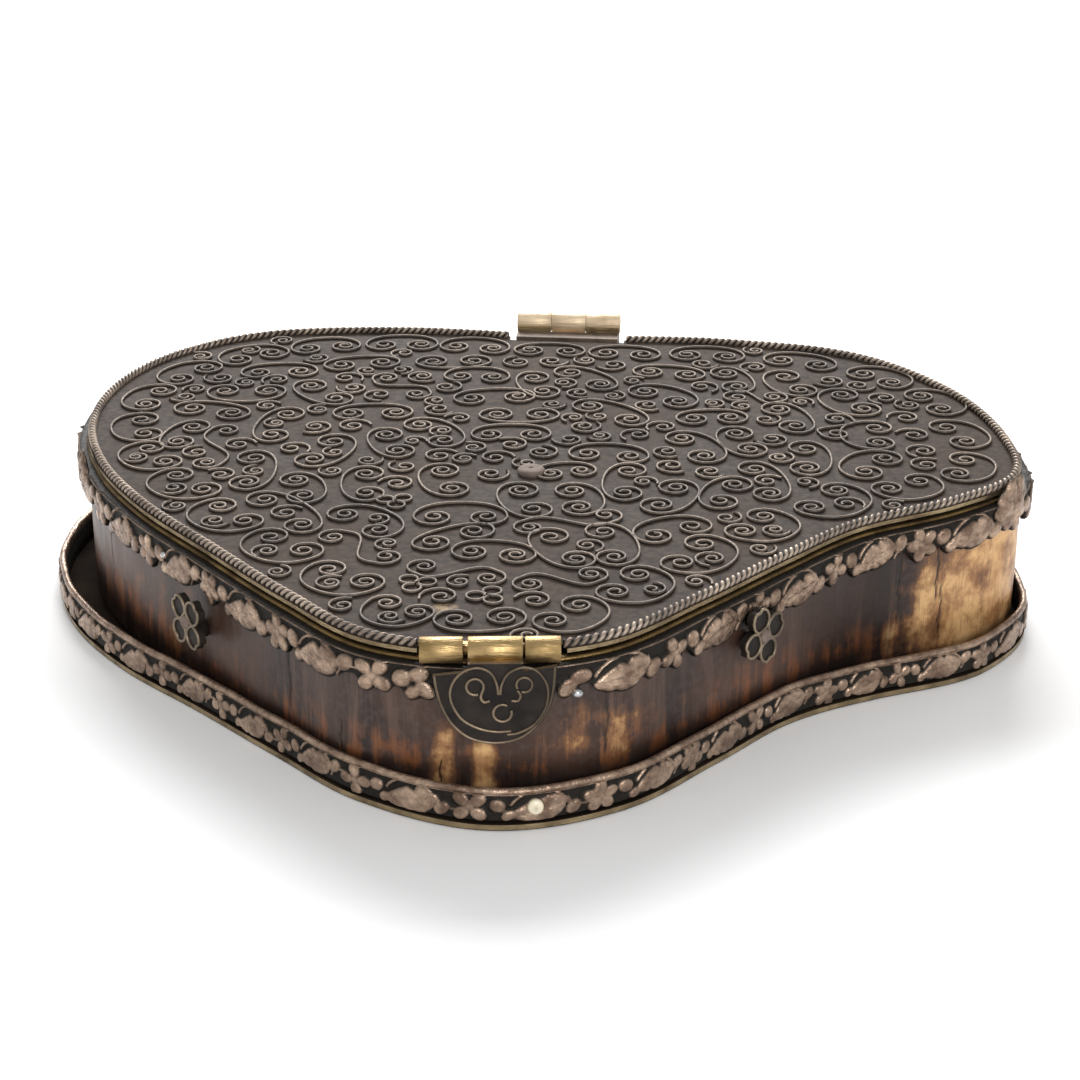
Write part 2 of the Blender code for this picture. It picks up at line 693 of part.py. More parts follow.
def build_clasp():
    """The barrel at the front: the lid carries its outer knuckles, the hasp its middle one."""
    left, middle, right = clasp_spans()
    back = clasp_strip_back()
    low = LID_BOTTOM - CLASP_AXIS.z
    outline = fork(left, right, -back, LEAF_THICKNESS - back, -PIN_RADIUS)
    strip = plate("clasp_leaf", [(x, -y) for x, y in outline], low, LID_THICKNESS)
    strip.transform(CLASP_FRAME)
    leaf = make_object("clasp_leaf", strip, BRASS, LID_PIVOT)
    for name, span in (("clasp_knuckle_left", left), ("clasp_knuckle_right", right)):
        combine(leaf, name, rods(name, BARREL_RADIUS, [span], CLASP_FRAME), "UNION", LID_PIVOT)
    combine(leaf, "clasp_bore", clasp_bore("clasp_bore"), "DIFFERENCE", LID_PIVOT)
    pin = rods("clasp_pin", PIN_RADIUS, [(-CLASP_LENGTH / 2, CLASP_LENGTH / 2)], CLASP_FRAME)
    return leaf, make_object("clasp_pin", pin, BRASS, LID_PIVOT)


def clasp_bore(name):
    return rods(name, PIN_RADIUS + PIN_CLEARANCE, [(-CLASP_LENGTH, CLASP_LENGTH)], CLASP_FRAME)


def hasp_outline():
    """A shield with an ear on top, in the plane of the hasp: X across, Y up from its foot."""
    half = HASP_WIDTH / 2
    shoulder = HASP_HEIGHT * HASP_SHOULDER
    points = []
    for k in range(HASP_FOOT_STEPS + 1):
        angle = math.radians(180 + 180 * k / HASP_FOOT_STEPS)
        points.append((half * math.cos(angle), shoulder + shoulder * math.sin(angle)))
    left, right = clasp_spans()[1]
    ear = HASP_HEIGHT + HASP_EAR
    points.append((half, HASP_HEIGHT))
    points += [(x - LEAF_INSET, y) for x, y in ((right, HASP_HEIGHT), (right, ear))]
    points += [(x + LEAF_INSET, y) for x, y in ((left, ear), (left, HASP_HEIGHT))]
    points.append((-half * HASP_TOP, HASP_HEIGHT))
    return points


def build_hasp():
    """A leaning shield, hung by a tab from the barrel's middle knuckle. Two scrolls stand on it."""
    middle = clasp_spans()[1]
    # The sheet is drawn flat with its face up, and stood up in front of the barrel
    hang = Vector((0.0, -BARREL_RADIUS - HASP_CLEARANCE, -BARREL_RADIUS))
    stand = CLASP_FRAME @ Matrix.Translation(hang) @ Matrix.Rotation(math.radians(90 - HASP_LEAN), 4, "X")
    sheet = plate("hasp", [(x, y - HASP_HEIGHT) for x, y in hasp_outline()], 0.0, HASP_THICKNESS)
    sheet.transform(stand)
    hasp = make_object("hasp", sheet, DARK_METAL, HASP_PIVOT)
    tab_foot = -HASP_TAB_TOP - HASP_TAB_THICKNESS
    tab = block("hasp_tab", (middle[0] + 2 * LEAF_INSET, hang.y - HASP_THICKNESS / 2, tab_foot),
                (middle[1] - 2 * LEAF_INSET, -PIN_RADIUS - PIN_CLEARANCE, -HASP_TAB_TOP), CLASP_FRAME)
    combine(hasp, "hasp_tab", tab, "UNION", HASP_PIVOT)
    knuckle = rods("hasp_knuckle", BARREL_RADIUS, [middle], CLASP_FRAME)
    combine(hasp, "hasp_knuckle", knuckle, "UNION", HASP_PIVOT)
    combine(hasp, "hasp_bore", clasp_bore("hasp_bore"), "DIFFERENCE", HASP_PIVOT)
    bm = bmesh.new()
    curl = scroll_path(HASP_CURL_WIDTH, SCROLL_TURNS, HASP_CURL_STEPS)
    for side in (-1, 1):
        place = Vector((side * (HASP_CURL_WIDTH / 2 + SCROLL_WIRE), -HASP_CURL_DROP))
        crest = HASP_THICKNESS + HASP_CURL_HEIGHT
        add_rib(bm, turned(curl, 0.0, place), SCROLL_WIRE, HASP_THICKNESS / 2, crest)
    curls = mesh_from(bm, "hasp_curls")
    curls.transform(stand)
    return combine(hasp, "hasp_curls", curls, "UNION", HASP_PIVOT, True)


def build_flower(name, place):
    """A four-petalled boss on the bone, with a sunk middle to each petal and a stud."""
    share, height, turn = place
    face = COLLAR_OUTER + RELIEF_HEIGHT + SEAM
    where, out = place_on_outline(share, face)
    frame = Matrix((
        (-out.y, 0.0, out.x, where.x),
        (out.x, 0.0, out.y, where.y),
        (0.0, 1.0, 0.0, height),
        (0.0, 0.0, 0.0, 1.0),
    ))
    petal = FLOWER_WIDTH * PETAL_RADIUS
    reach = FLOWER_WIDTH / 2 - petal
    points = []
    for quarter in range(4):
        axis = math.radians(turn + 90 * quarter)
        for k in range(PETAL_STEPS + 1):
            angle = axis + math.radians(PETAL_SWEEP * (2 * k / PETAL_STEPS - 1))
            points.append((reach * math.cos(axis) + petal * math.cos(angle),
                           reach * math.sin(axis) + petal * math.sin(angle)))
    body = plate(name, points, 0.0, FLOWER_THICKNESS)
    body.transform(frame)
    flower = make_object(name, body, DARK_METAL)
    length = face - WALL_PROUD - SEAM + FLOWER_THICKNESS / 2
    middle = Vector((0.0, -FLOWER_STEM_DROP, FLOWER_THICKNESS / 2 - length / 2))
    bm = bmesh.new()
    bmesh.ops.create_cone(bm, cap_ends=True, segments=ROUND_SIDES, radius1=FLOWER_STEM / 2,
                          radius2=FLOWER_STEM / 2, depth=length, matrix=frame @ Matrix.Translation(middle))
    combine(flower, name + "_stem", mesh_from(bm, name + "_stem"), "UNION")
    bm = bmesh.new()
    for quarter in range(4):
        axis = math.radians(turn + 90 * quarter)
        spot = Vector((reach * math.cos(axis), reach * math.sin(axis), FLOWER_THICKNESS))
        bmesh.ops.create_cone(bm, cap_ends=True, segments=HOLLOW_SIDES, radius1=FLOWER_WIDTH * HOLLOW_FLOOR,
                              radius2=FLOWER_WIDTH * HOLLOW_MOUTH, depth=FLOWER_THICKNESS * HOLLOW_DEPTH * 2,
                              matrix=frame @ Matrix.Translation(spot))
    return combine(flower, name + "_hollows", mesh_from(bm, name + "_hollows"), "DIFFERENCE")


def build_peg():
    where, out = place_on_outline(PEG_PLACE[0], RIM_INNER + RIM_THICKNESS + SEAM, 1.0)
    middle = where + out * PEG_HEIGHT / 2
    turn = Vector((0.0, 0.0, 1.0)).rotation_difference(Vector((out.x, out.y, 0.0))).to_matrix().to_4x4()
    bm = bmesh.new()
    radius = PEG_DIAMETER / 2
    place = Matrix.Translation((middle.x, middle.y, TRAY_TOP + PEG_PLACE[1] - TRAY_THICKNESS)) @ turn
    bmesh.ops.create_cone(bm, cap_ends=True, segments=ROUND_SIDES, radius1=radius, radius2=radius * PEG_CROWN,
                          depth=PEG_HEIGHT, matrix=place)
    return make_object("rim_peg", mesh_from(bm, "rim_peg"), CREAM)


clear_scene()
PARTS = make_collection("bone_box")
CUTTERS = make_collection("cutters")

SILVER = make_material("oxidised_silver", (0.30, 0.25, 0.23), 0.45, 0.9)
LID_METAL = make_material("lid_metal", (0.16, 0.14, 0.14), 0.5, 0.8)
DARK_METAL = make_material("dark_metal", (0.10, 0.095, 0.095), 0.5, 0.8)
BRASS = make_material("brass", (0.62, 0.46, 0.20), 0.35, 1.0)
TIN = make_material("tin", (0.50, 0.45, 0.42), 0.45, 0.8)
BONE = make_material("stained_bone", (0.22, 0.14, 0.10), 0.4, 0.0)
CREAM = make_material("cream_bone", (0.80, 0.74, 0.60), 0.35, 0.0)

LOOP, OUTLINE_LENGTH = plan_outline(OUTLINE_SAMPLES)
NORMALS = outward(LOOP)

# The top slopes: its frame turns about the front of the bone's top edge
TOP = make_empty("top_frame", (0.0, 0.0, 0.0))
slope_spin = Matrix.Rotation(math.radians(TOP_SLOPE), 4, "X")
front_edge = Vector((0.0, FRONT_Y, WALL_TOP))
TOP.matrix_world = Matrix.Translation(front_edge) @ slope_spin @ Matrix.Translation((0.0, -FRONT_Y, 0.0))

HINGE_AXIS = Vector((0.0, back_edge() + COLLAR_OUTER + SEAM + LEAF_THICKNESS + HINGE_SETBACK,
                     LID_TOP + HINGE_RISE))
CLASP_AXIS = Vector((0.0, FRONT_Y - COLLAR_OUTER - SEAM + BARREL_RADIUS, LID_TOP + CLASP_RISE))
CLASP_FRAME = Matrix.Translation(CLASP_AXIS) @ Matrix.Rotation(math.radians(CLASP_TURN), 4, "Z")
LID_PIVOT = make_empty("lid_pivot", HINGE_AXIS, TOP)
HASP_PIVOT = make_empty("hasp_pivot", CLASP_AXIS - HINGE_AXIS, LID_PIVOT)

build_tray_plate()
build_rim()
build_wall()
build_collar()
build_bezel()
build_lid_plate()
build_ropes()
build_rivet()
build_hinge()
build_clasp()
build_hasp()
build_flower("left_flower", LEFT_FLOWER)
build_flower("right_flower", RIGHT_FLOWER)
build_peg()
bpy.context.view_layer.update()
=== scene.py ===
import json
import math
import random

import bmesh
import bpy
import numpy as np
from mathutils import Matrix, Vector


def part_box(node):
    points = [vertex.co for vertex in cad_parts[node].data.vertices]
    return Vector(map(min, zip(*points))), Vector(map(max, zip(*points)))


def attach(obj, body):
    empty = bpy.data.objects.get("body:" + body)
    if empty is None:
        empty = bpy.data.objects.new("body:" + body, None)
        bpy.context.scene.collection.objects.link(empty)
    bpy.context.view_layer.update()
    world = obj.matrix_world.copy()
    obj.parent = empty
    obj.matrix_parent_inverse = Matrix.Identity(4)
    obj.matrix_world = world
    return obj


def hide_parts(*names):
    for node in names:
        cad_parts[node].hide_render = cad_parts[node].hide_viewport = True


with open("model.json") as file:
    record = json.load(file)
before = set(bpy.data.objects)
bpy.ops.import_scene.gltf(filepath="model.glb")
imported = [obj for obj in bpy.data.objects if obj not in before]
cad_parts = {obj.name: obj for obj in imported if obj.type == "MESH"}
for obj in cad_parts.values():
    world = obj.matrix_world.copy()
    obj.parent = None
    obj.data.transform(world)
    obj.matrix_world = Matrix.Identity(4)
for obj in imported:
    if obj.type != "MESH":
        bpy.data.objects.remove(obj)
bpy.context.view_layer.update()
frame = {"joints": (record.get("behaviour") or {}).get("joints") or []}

MM = 0.001

# Sizes that the pieces share, as in the frame
LID_WIDTH = 89.6
LID_DEPTH = 76.4
TOP_SLOPE = math.radians(3.0)
SEAM = 0.25
TRAY_TOP = 0.85
WALL_TOP = 12.35
WALL_PROUD = 0.9
WALL_THICKNESS = 3.2
RIM_INNER = 1.25
RIM_THICKNESS = 0.6
RIM_SPREAD = 2.8
RIM_HEIGHT = 2.8
TRAY_LIP = 0.15
TRAY_THICKNESS = 0.6
COLLAR_INNER = 1.25
COLLAR_OUTER = 1.65
COLLAR_DROP = 2.45
COLLAR_TOP = 0.65
BEZEL_TOP = 0.85
LID_BOTTOM = 1.10
LID_TOP = 1.60
LID_MARGIN = 0.80
ROPE_PLACE = 0.36
ROPE_RADIUS = 0.375
RELIEF = 0.4
BARREL_RADIUS = 1.05
PIN_RADIUS = 0.45

# The plan from the front point round by the right: shares of half the width and half the
# depth, and how far the tray stands off there, as a share of RIM_SPREAD
OUTLINE = (
    (0.000, -1.010, 0.82), (0.190, -0.940, 0.46), (0.357, -0.725, 0.21), (0.509, -0.500, 0.11),
    (0.658, -0.298, 0.89), (0.862, -0.136, 1.00), (0.991, 0.026, 0.21), (0.996, 0.262, 0.14),
    (0.900, 0.610, 0.29), (0.692, 0.880, 0.36), (0.379, 0.969, 0.43), (0.000, 0.966, 0.46),
    (-0.424, 0.990, 0.50), (-0.759, 0.906, 0.57), (-0.938, 0.694, 0.68), (-1.004, 0.429, 0.79),
    (-0.987, 0.157, 0.89), (-0.904, -0.092, 0.86), (-0.768, -0.327, 0.64), (-0.578, -0.568, 0.25),
    (-0.393, -0.796, 0.00), (-0.221, -0.971, 0.04),
)
FRONT_Y = OUTLINE[0][1] * LID_DEPTH / 2

BAND_COLUMNS = 2200         # points round a carved band
PLAIN_COLUMNS = 900         # round a plain one
ROPE_COLUMNS = 3400         # round the rope


# The plan outline


def wrapped(value, length):
    return (value + length / 2) % length - length / 2


def unit(vectors):
    """Vectors of length 1. A step of no length stays one."""
    return vectors / (np.linalg.norm(vectors, axis=-1)[..., None] + 1e-9)


def smooth_loop(points, steps):
    """A closed centripetal Catmull-Rom curve through points."""
    points = np.asarray(points, float)
    count = len(points)
    t = (np.arange(steps) / steps)[:, None]
    fine = []
    for i in range(count):
        a, b, c, d = (points[(i + k) % count] for k in (-1, 0, 1, 2))
        ab, bc, cd = (math.sqrt(np.linalg.norm(q - p)) for p, q in ((a, b), (b, c), (c, d)))
        start = ((b - a) / ab - (c - a) / (ab + bc) + (c - b) / bc) * bc
        end = ((c - b) / bc - (d - b) / (bc + cd) + (d - c) / cd) * bc
        fine.append(b * (2 * t**3 - 3 * t**2 + 1) + start * (t**3 - 2 * t**2 + t)
                    + c * (-2 * t**3 + 3 * t**2) + end * (t**3 - t**2))
    return np.concatenate(fine)


def smooth_path(points, steps):
    """An open Catmull-Rom curve through points."""
    points = np.asarray(points, float)
    ends = np.vstack([2 * points[0] - points[1], points, 2 * points[-1] - points[-2]])
    t = (np.arange(steps) / steps)[:, None]
    rows = []
    for a, b, c, d in zip(ends, ends[1:], ends[2:], ends[3:]):
        rows.append(0.5 * (2 * b + (c - a) * t + (2 * a - 5 * b + 4 * c - d) * t**2
                           + (3 * b - a - 3 * c + d) * t**3))
    return np.vstack(rows + [points[-1:]])


class Plan:
    """The outline of the lid as evenly spaced points, with outward directions and tray spread."""

    def __init__(self, count):
        shape = [(x * LID_WIDTH / 2, y * LID_DEPTH / 2, tray * RIM_SPREAD) for x, y, tray in OUTLINE]
        fine = smooth_loop(shape, 80)
        closed = np.vstack([fine, fine[:1]])
        run = np.concatenate([[0.0], np.cumsum(np.linalg.norm(np.diff(closed[:, :2], axis=0), axis=1))])
        self.length = run[-1]
        self.count = count
        self.run = np.arange(count) * self.length / count
        sampled = np.stack([np.interp(self.run, run, closed[:, k]) for k in range(3)], axis=1)
        self.xy = sampled[:, :2]
        self.spread = sampled[:, 2]
        along = unit(np.roll(self.xy, -1, axis=0) - np.roll(self.xy, 1, axis=0))
        self.out = np.stack([along[:, 1], -along[:, 0]], axis=1)

    def ring(self, offset, tray=0.0):
        """The outline moved outwards."""
        return self.xy + self.out * (offset + tray * self.spread)[:, None]

    def place(self, share, offset, tray=0.0):
        """A point beside the outline, and its outward direction, at a share of the way round."""
        i = int(round(share * self.count)) % self.count
        return self.xy[i] + self.out[i] * (offset + tray * self.spread[i]), self.out[i]

    def past(self, s):
        """How far each point lies past a place along the outline, taken the shorter way."""
        return wrapped(self.run - s, self.length)


PLAN = Plan(PLAIN_COLUMNS)
FINE = Plan(BAND_COLUMNS)


def all_round(values):
    """The same values at every point round a carved band."""
    return np.tile(values, (FINE.count, 1))


def ripple(height, count):
    """A gentle wave at every point round a band, with this many crests."""
    return height * np.sin(FINE.run[:, None] * 2 * math.pi * count / FINE.length)


def lift(points):
    """From the sloping frame of the top, whose zero is the top of the bone, to the ground's."""
    x, y, z = np.moveaxis(np.asarray(points, float), -1, 0)
    y = y - FRONT_Y
    return np.stack([x, FRONT_Y + y * math.cos(TOP_SLOPE) - z * math.sin(TOP_SLOPE),
                     WALL_TOP + y * math.sin(TOP_SLOPE) + z * math.cos(TOP_SLOPE)], axis=-1)


def polar(radius, angle):
    """Plan points from their distances and directions."""
    return np.stack([radius * np.cos(angle), radius * np.sin(angle)], axis=-1)


def at_height(path, height):
    """A path in plan, given a height."""
    return np.column_stack([path, np.full(len(path), height)])


def bell(value, width):
    return np.exp(-(value / width) ** 2)


TOP_TURN = Matrix.Rotation(TOP_SLOPE, 4, "X")
UPRIGHT = Matrix.Rotation(-math.pi / 2, 4, "Y")     # stands a turned body's X on end


def frame_of(x, y, z, origin):
    """A matrix from three axes and an origin."""
    matrix = Matrix((x, y, z)).transposed().to_4x4()
    matrix.translation = origin
    return matrix


def middle(node):
    """The middle of a solid's box, in millimetres."""
    low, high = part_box(node)
    return (Vector(low) + Vector(high)) / 2 / MM


# Meshes


def new_piece(name, mesh, body, material, node=None, smooth=True):
    """A piece of one mesh or of a list of them, in one material or a list of them."""
    if isinstance(mesh, list):
        mesh = join(mesh)
    mesh.name = name
    if smooth:
        mesh.shade_smooth()
    for entry in material if isinstance(material, list) else [material]:
        mesh.materials.append(entry)
    piece = bpy.data.objects.new(name, mesh)
    bpy.context.scene.collection.objects.link(piece)
    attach(piece, body)
    if node:
        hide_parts(node)


def place_points(mesh, points):
    """Puts a mesh's vertices at points in millimetres."""
    mesh.vertices.foreach_set("co", (points * MM).astype(np.float32).ravel())


def mark(mesh, key, values):
    """Gives a mesh's vertices a value each, for its material."""
    layer = mesh.attributes.new(key, "FLOAT", "POINT")
    layer.data.foreach_set("value", values.astype(np.float32).ravel())


def mesh_of(points, quads, attributes=None):
    """A mesh from millimetre points and faces of four corners, with values at its points."""
    quads = quads.astype(np.int32)
    mesh = bpy.data.meshes.new("piece")
    mesh.vertices.add(points.size // 3)
    place_points(mesh, points)
    mesh.loops.add(quads.size)
    mesh.loops.foreach_set("vertex_index", quads.ravel())
    mesh.polygons.add(len(quads))
    mesh.polygons.foreach_set("loop_start", np.arange(0, quads.size, 4, dtype=np.int32))
    for key, values in (attributes or {}).items():
        mark(mesh, key, values)
    mesh.update(calc_edges=True)
    mesh.validate()
    return mesh


def grid_quads(columns, rows, closed=True):
    """Faces between columns, each a ring of points. The last column may meet the first."""
    i = np.arange(columns if closed else columns - 1)[:, None]
    j = np.arange(rows)
    after = (i + 1) % columns * rows
    above = (j + 1) % rows
    return np.stack([i * rows + j, after + j, after + above, i * rows + above], axis=-1).reshape(-1, 4)


def band_mesh(plan, offsets, heights, tray=0.0, sloping=True, attributes=None):
    """A closed band. offsets and heights go round its section: one row for all columns, or a row each."""
    shape = (plan.count, np.shape(heights)[-1])
    reach = np.broadcast_to(offsets, shape) + tray * plan.spread[:, None]
    xy = plan.xy[:, None, :] + plan.out[:, None, :] * reach[..., None]
    points = np.concatenate([xy, np.broadcast_to(heights, shape)[..., None]], axis=-1)
    return mesh_of(lift(points) if sloping else points, grid_quads(*shape), attributes)


def sweep(paths, profile):
    """Bars along open paths: profile holds 4 (across, up) corners. Returns points and faces."""
    across, up = np.array(profile).T
    points = []
    quads = []
    base = 0
    for path in paths:
        along = unit(np.gradient(path[:, :2], axis=0))
        side = np.stack([along[:, 1], -along[:, 0]], axis=1)
        xy = path[:, None, :2] + side[:, None, :] * across[:, None]
        z = path[:, 2:] + up
        points.append(np.concatenate([xy, z[..., None]], axis=-1).reshape(-1, 3))
        last = base + (len(path) - 1) * 4
        quads.append(grid_quads(len(path), 4, closed=False) + base)
        quads.append([[base + 3, base + 2, base + 1, base], [last, last + 1, last + 2, last + 3]])
        base += len(path) * 4
    return np.vstack(points), np.vstack(quads)


def moved(points, matrix):
    m = np.array(matrix)
    return points @ m[:3, :3].T + m[:3, 3]


def lathe(profile, matrix, sides=56):
    """A body turned about X. profile holds (x, radius) corners of a closed section."""
    angle = np.arange(sides)[:, None] * 2 * math.pi / sides
    x, radius = np.array(profile).T
    points = np.stack([np.broadcast_to(x, (sides, len(x))), np.cos(angle) * radius, np.sin(angle) * radius],
                      axis=-1)
    return mesh_of(moved(points, matrix), grid_quads(sides, len(x))[:, ::-1])


def mesh_from(bm, scale=1.0):
    """A mesh from a bmesh, which is freed."""
    bmesh.ops.scale(bm, vec=(scale, scale, scale), verts=bm.verts)
    mesh = bpy.data.meshes.new("piece")
    bm.to_mesh(mesh)
    bm.free()
    return mesh


def join(meshes):
    """One mesh from several."""
    bm = bmesh.new()
    for mesh in meshes:
        bm.from_mesh(mesh)
        bpy.data.meshes.remove(mesh)
    return mesh_from(bm)


def slab(outline, low, high, matrix=Matrix(), edge_material=0, bevel=0.0):
    """A sheet with this outline. Its faces are material 0 and its edge is edge_material."""
    bm = bmesh.new()
    face = bm.faces.new([bm.verts.new((x, y, low)) for x, y in outline])
    grown = bmesh.ops.extrude_face_region(bm, geom=[face])
    above = [item for item in grown["geom"] if isinstance(item, bmesh.types.BMVert)]
    bmesh.ops.translate(bm, verts=above, vec=(0.0, 0.0, high - low))
    bmesh.ops.recalc_face_normals(bm, faces=bm.faces)
    for side in bm.faces:
        if abs(side.normal.z) < 0.5:
            side.material_index = edge_material
    if bevel:
        rims = [edge for edge in bm.edges if len(edge.link_faces) == 2
                and abs(edge.link_faces[0].normal.z - edge.link_faces[1].normal.z) > 0.5]
        bmesh.ops.bevel(bm, geom=rims, offset=bevel, segments=2, affect="EDGES", profile=0.5)
    bm.transform(matrix)
    return mesh_from(bm, MM)


def wires(paths, radius, matrix, closed=True, sides=8):
    """Round wires along paths in space."""
    angle = np.arange(sides)[:, None] * 2 * math.pi / sides
    meshes = []
    for path in paths:
        along = unit(np.roll(path, -1, axis=0) - np.roll(path, 1, axis=0) if closed
                     else np.gradient(path, axis=0))
        side = unit(np.cross(along, (0.0, 0.0, 1.0)))
        rise = np.cross(side, along)
        points = path[:, None, :] + radius * (np.cos(angle) * side[:, None, :]
                                              + np.sin(angle) * rise[:, None, :])
        meshes.append(mesh_of(moved(points, matrix), grid_quads(len(path), sides, closed)))
    return meshes


# Materials


COAT_ROUGHNESS = 0.2


class Nodes:
    """Short calls for building a material's nodes."""

    def __init__(self, name):
        self.material = bpy.data.materials.new(name)
        self.material.use_nodes = True
        self.tree = self.material.node_tree
        self.shader = self.tree.nodes["Principled BSDF"]
        self.place = self.add("ShaderNodeTexCoord").outputs["Object"]

    def add(self, kind, inputs=None, **settings):
        """A node with these settings, and with a value or a link at each of these inputs."""
        node = self.tree.nodes.new(kind)
        for key, value in settings.items():
            setattr(node, key, value)
        self.fill(node, inputs or {})
        return node

    def fill(self, node, inputs):
        for key, value in inputs.items():
            target = node.inputs[key]
            if isinstance(value, bpy.types.NodeSocket):
                self.tree.links.new(value, target)
            else:
                target.default_value = (*value, 1.0) if target.type == "RGBA" else value

    def stretched(self, scale):
        """Object coordinates, scaled by three numbers a metre."""
        return self.add("ShaderNodeMapping", {"Vector": self.place, "Scale": scale}).outputs["Vector"]

    def noise(self, scale, detail=3.0, rough=0.55, vector=None, distortion=0.0):
        inputs = {"Vector": self.place if vector is None else vector, "Scale": scale, "Detail": detail,
                  "Roughness": rough, "Distortion": distortion}
        return self.add("ShaderNodeTexNoise", inputs).outputs["Fac"]

    def band(self, value, low, high, to_low=0.0, to_high=1.0):
        """A value mapped from low..high to another range, held at its ends."""
        inputs = {"Value": value, "From Min": low, "From Max": high, "To Min": to_low, "To Max": to_high}
        return self.add("ShaderNodeMapRange", inputs, clamp=True).outputs["Result"]

    def math(self, operation, a, b):
        return self.add("ShaderNodeMath", {0: a, 1: b}, operation=operation).outputs[0]

    def mix(self, factor, a, b):
        return self.add("ShaderNodeMix", {0: factor, 6: a, 7: b}, data_type="RGBA").outputs[2]

    def tint(self, value, share, colour, other):
        """Another colour mixed in where a value is high, up to a share."""
        return self.mix(self.math("MULTIPLY", value, share), colour, other)

    def value_at(self, name):
        return self.add("ShaderNodeAttribute", attribute_name=name).outputs["Fac"]

    def near(self, point, reach, soft):
        """1 close to a point in millimetres, falling to 0 past reach."""
        inputs = {0: self.place, 1: [c * MM for c in point]}
        away = self.add("ShaderNodeVectorMath", inputs, operation="DISTANCE").outputs["Value"]
        return self.band(away, reach * MM, (reach + soft) * MM, 1.0, 0.0)

    def bump(self, height, strength, distance):
        """Relief in the shading, its depth in millimetres."""
        node = self.add("ShaderNodeBump", {"Height": height, "Strength": strength, "Distance": distance * MM})
        self.fill(self.shader, {"Normal": node.outputs["Normal"]})

    def finish(self, colour, roughness, metallic=0.0, coat=0.0, specular=0.5):
        self.fill(self.shader, {"Base Color": colour, "Roughness": roughness, "Metallic": metallic,
                                "Specular IOR Level": specular, "Coat Weight": coat,
                                "Coat Roughness": COAT_ROUGHNESS})
        return self.material


def make_lid_ground():
    n = Nodes("blackened_sheet")
    cloud = n.band(n.noise(90.0, 4.0), 0.35, 0.7)
    grain = n.band(n.noise(1400.0, 2.0), 0.3, 0.7)
    dark = n.mix(cloud, (0.022, 0.018, 0.016), (0.054, 0.042, 0.036))
    colour = n.tint(grain, 0.6, dark, (0.105, 0.074, 0.056))
    spot = n.math("MULTIPLY", n.near(WORN_SPOT, 2.52, 0.26), n.band(n.noise(1500.0, 3.0), 0.35, 0.6))
    colour = n.mix(spot, colour, (0.36, 0.26, 0.16))
    n.bump(n.noise(900.0, 4.0), 0.8, 0.14)
    return n.finish(colour, n.band(cloud, 0.0, 1.0, 0.66, 0.8), specular=0.08)


def make_wire(name, dark, light, metallic=0.85, roughness=0.36, painted_side_shade=False):
    """Tarnished wire, paler where it is worn. The last argument paints the low part of the "top" value near
    black: on the filigree the sides of the wire, partly its black patina and partly painted shade; on the
    rope the gaps between strands, painted shade.
    """
    n = Nodes(name)
    worn = n.band(n.noise(160.0, 4.0), 0.38, 0.66)
    fine = n.band(n.noise(2200.0, 2.0), 0.3, 0.7)
    colour = n.mix(worn, dark, light)
    colour = n.tint(fine, 0.3, colour, [c * 0.45 for c in dark])
    if painted_side_shade:
        # Painted shade: the wire's sides and the gaps between the rope's strands are painted near black; on
        # the filigree the sides are partly black patina as well.
        colour = n.mix(n.band(n.value_at("top"), 0.3, 0.9), (0.030, 0.024, 0.020), colour)
    n.bump(n.noise(2600.0, 2.0), 0.2, 0.03)
    return n.finish(colour, n.band(fine, 0.0, 1.0, roughness - 0.06, roughness + 0.12), metallic=metallic)


def make_relief(name, ground, top, high):
    """Cast relief: black in the ground, worn on the raised parts."""
    n = Nodes(name)
    rise = n.value_at("relief")
    patina = n.band(n.noise(520.0, 4.0), 0.36, 0.70)
    speck = n.band(n.noise(2400.0, 3.0), 0.35, 0.65)
    raised = n.mix(patina, top, high)
    raised = n.tint(speck, 0.35, raised, [c * 0.4 for c in top])
    cover = n.band(rise, 0.30, 0.74)
    colour = n.mix(cover, ground, raised)
    n.bump(n.noise(1500.0, 4.0), 1.0, 0.18)
    return n.finish(colour, n.band(rise, 0.1, 0.9, 0.6, 0.27), metallic=0.8, specular=0.3)


def make_brass(name, colour, dull, roughness=0.28, metallic=0.9):
    n = Nodes(name)
    cloud = n.band(n.noise(350.0, 4.0), 0.38, 0.68)
    fine = n.band(n.noise(1.0, 3.0, vector=n.stretched((400.0, 5200.0, 5200.0))), 0.3, 0.7)
    tone = n.mix(cloud, colour, dull)
    tone = n.tint(fine, 0.22, tone, [c * 0.3 for c in dull])
    n.bump(n.math("ADD", fine, n.noise(700.0, 3.0)), 0.45, 0.06)
    return n.finish(tone, n.band(cloud, 0.0, 1.0, roughness, roughness + 0.16), metallic=metallic)


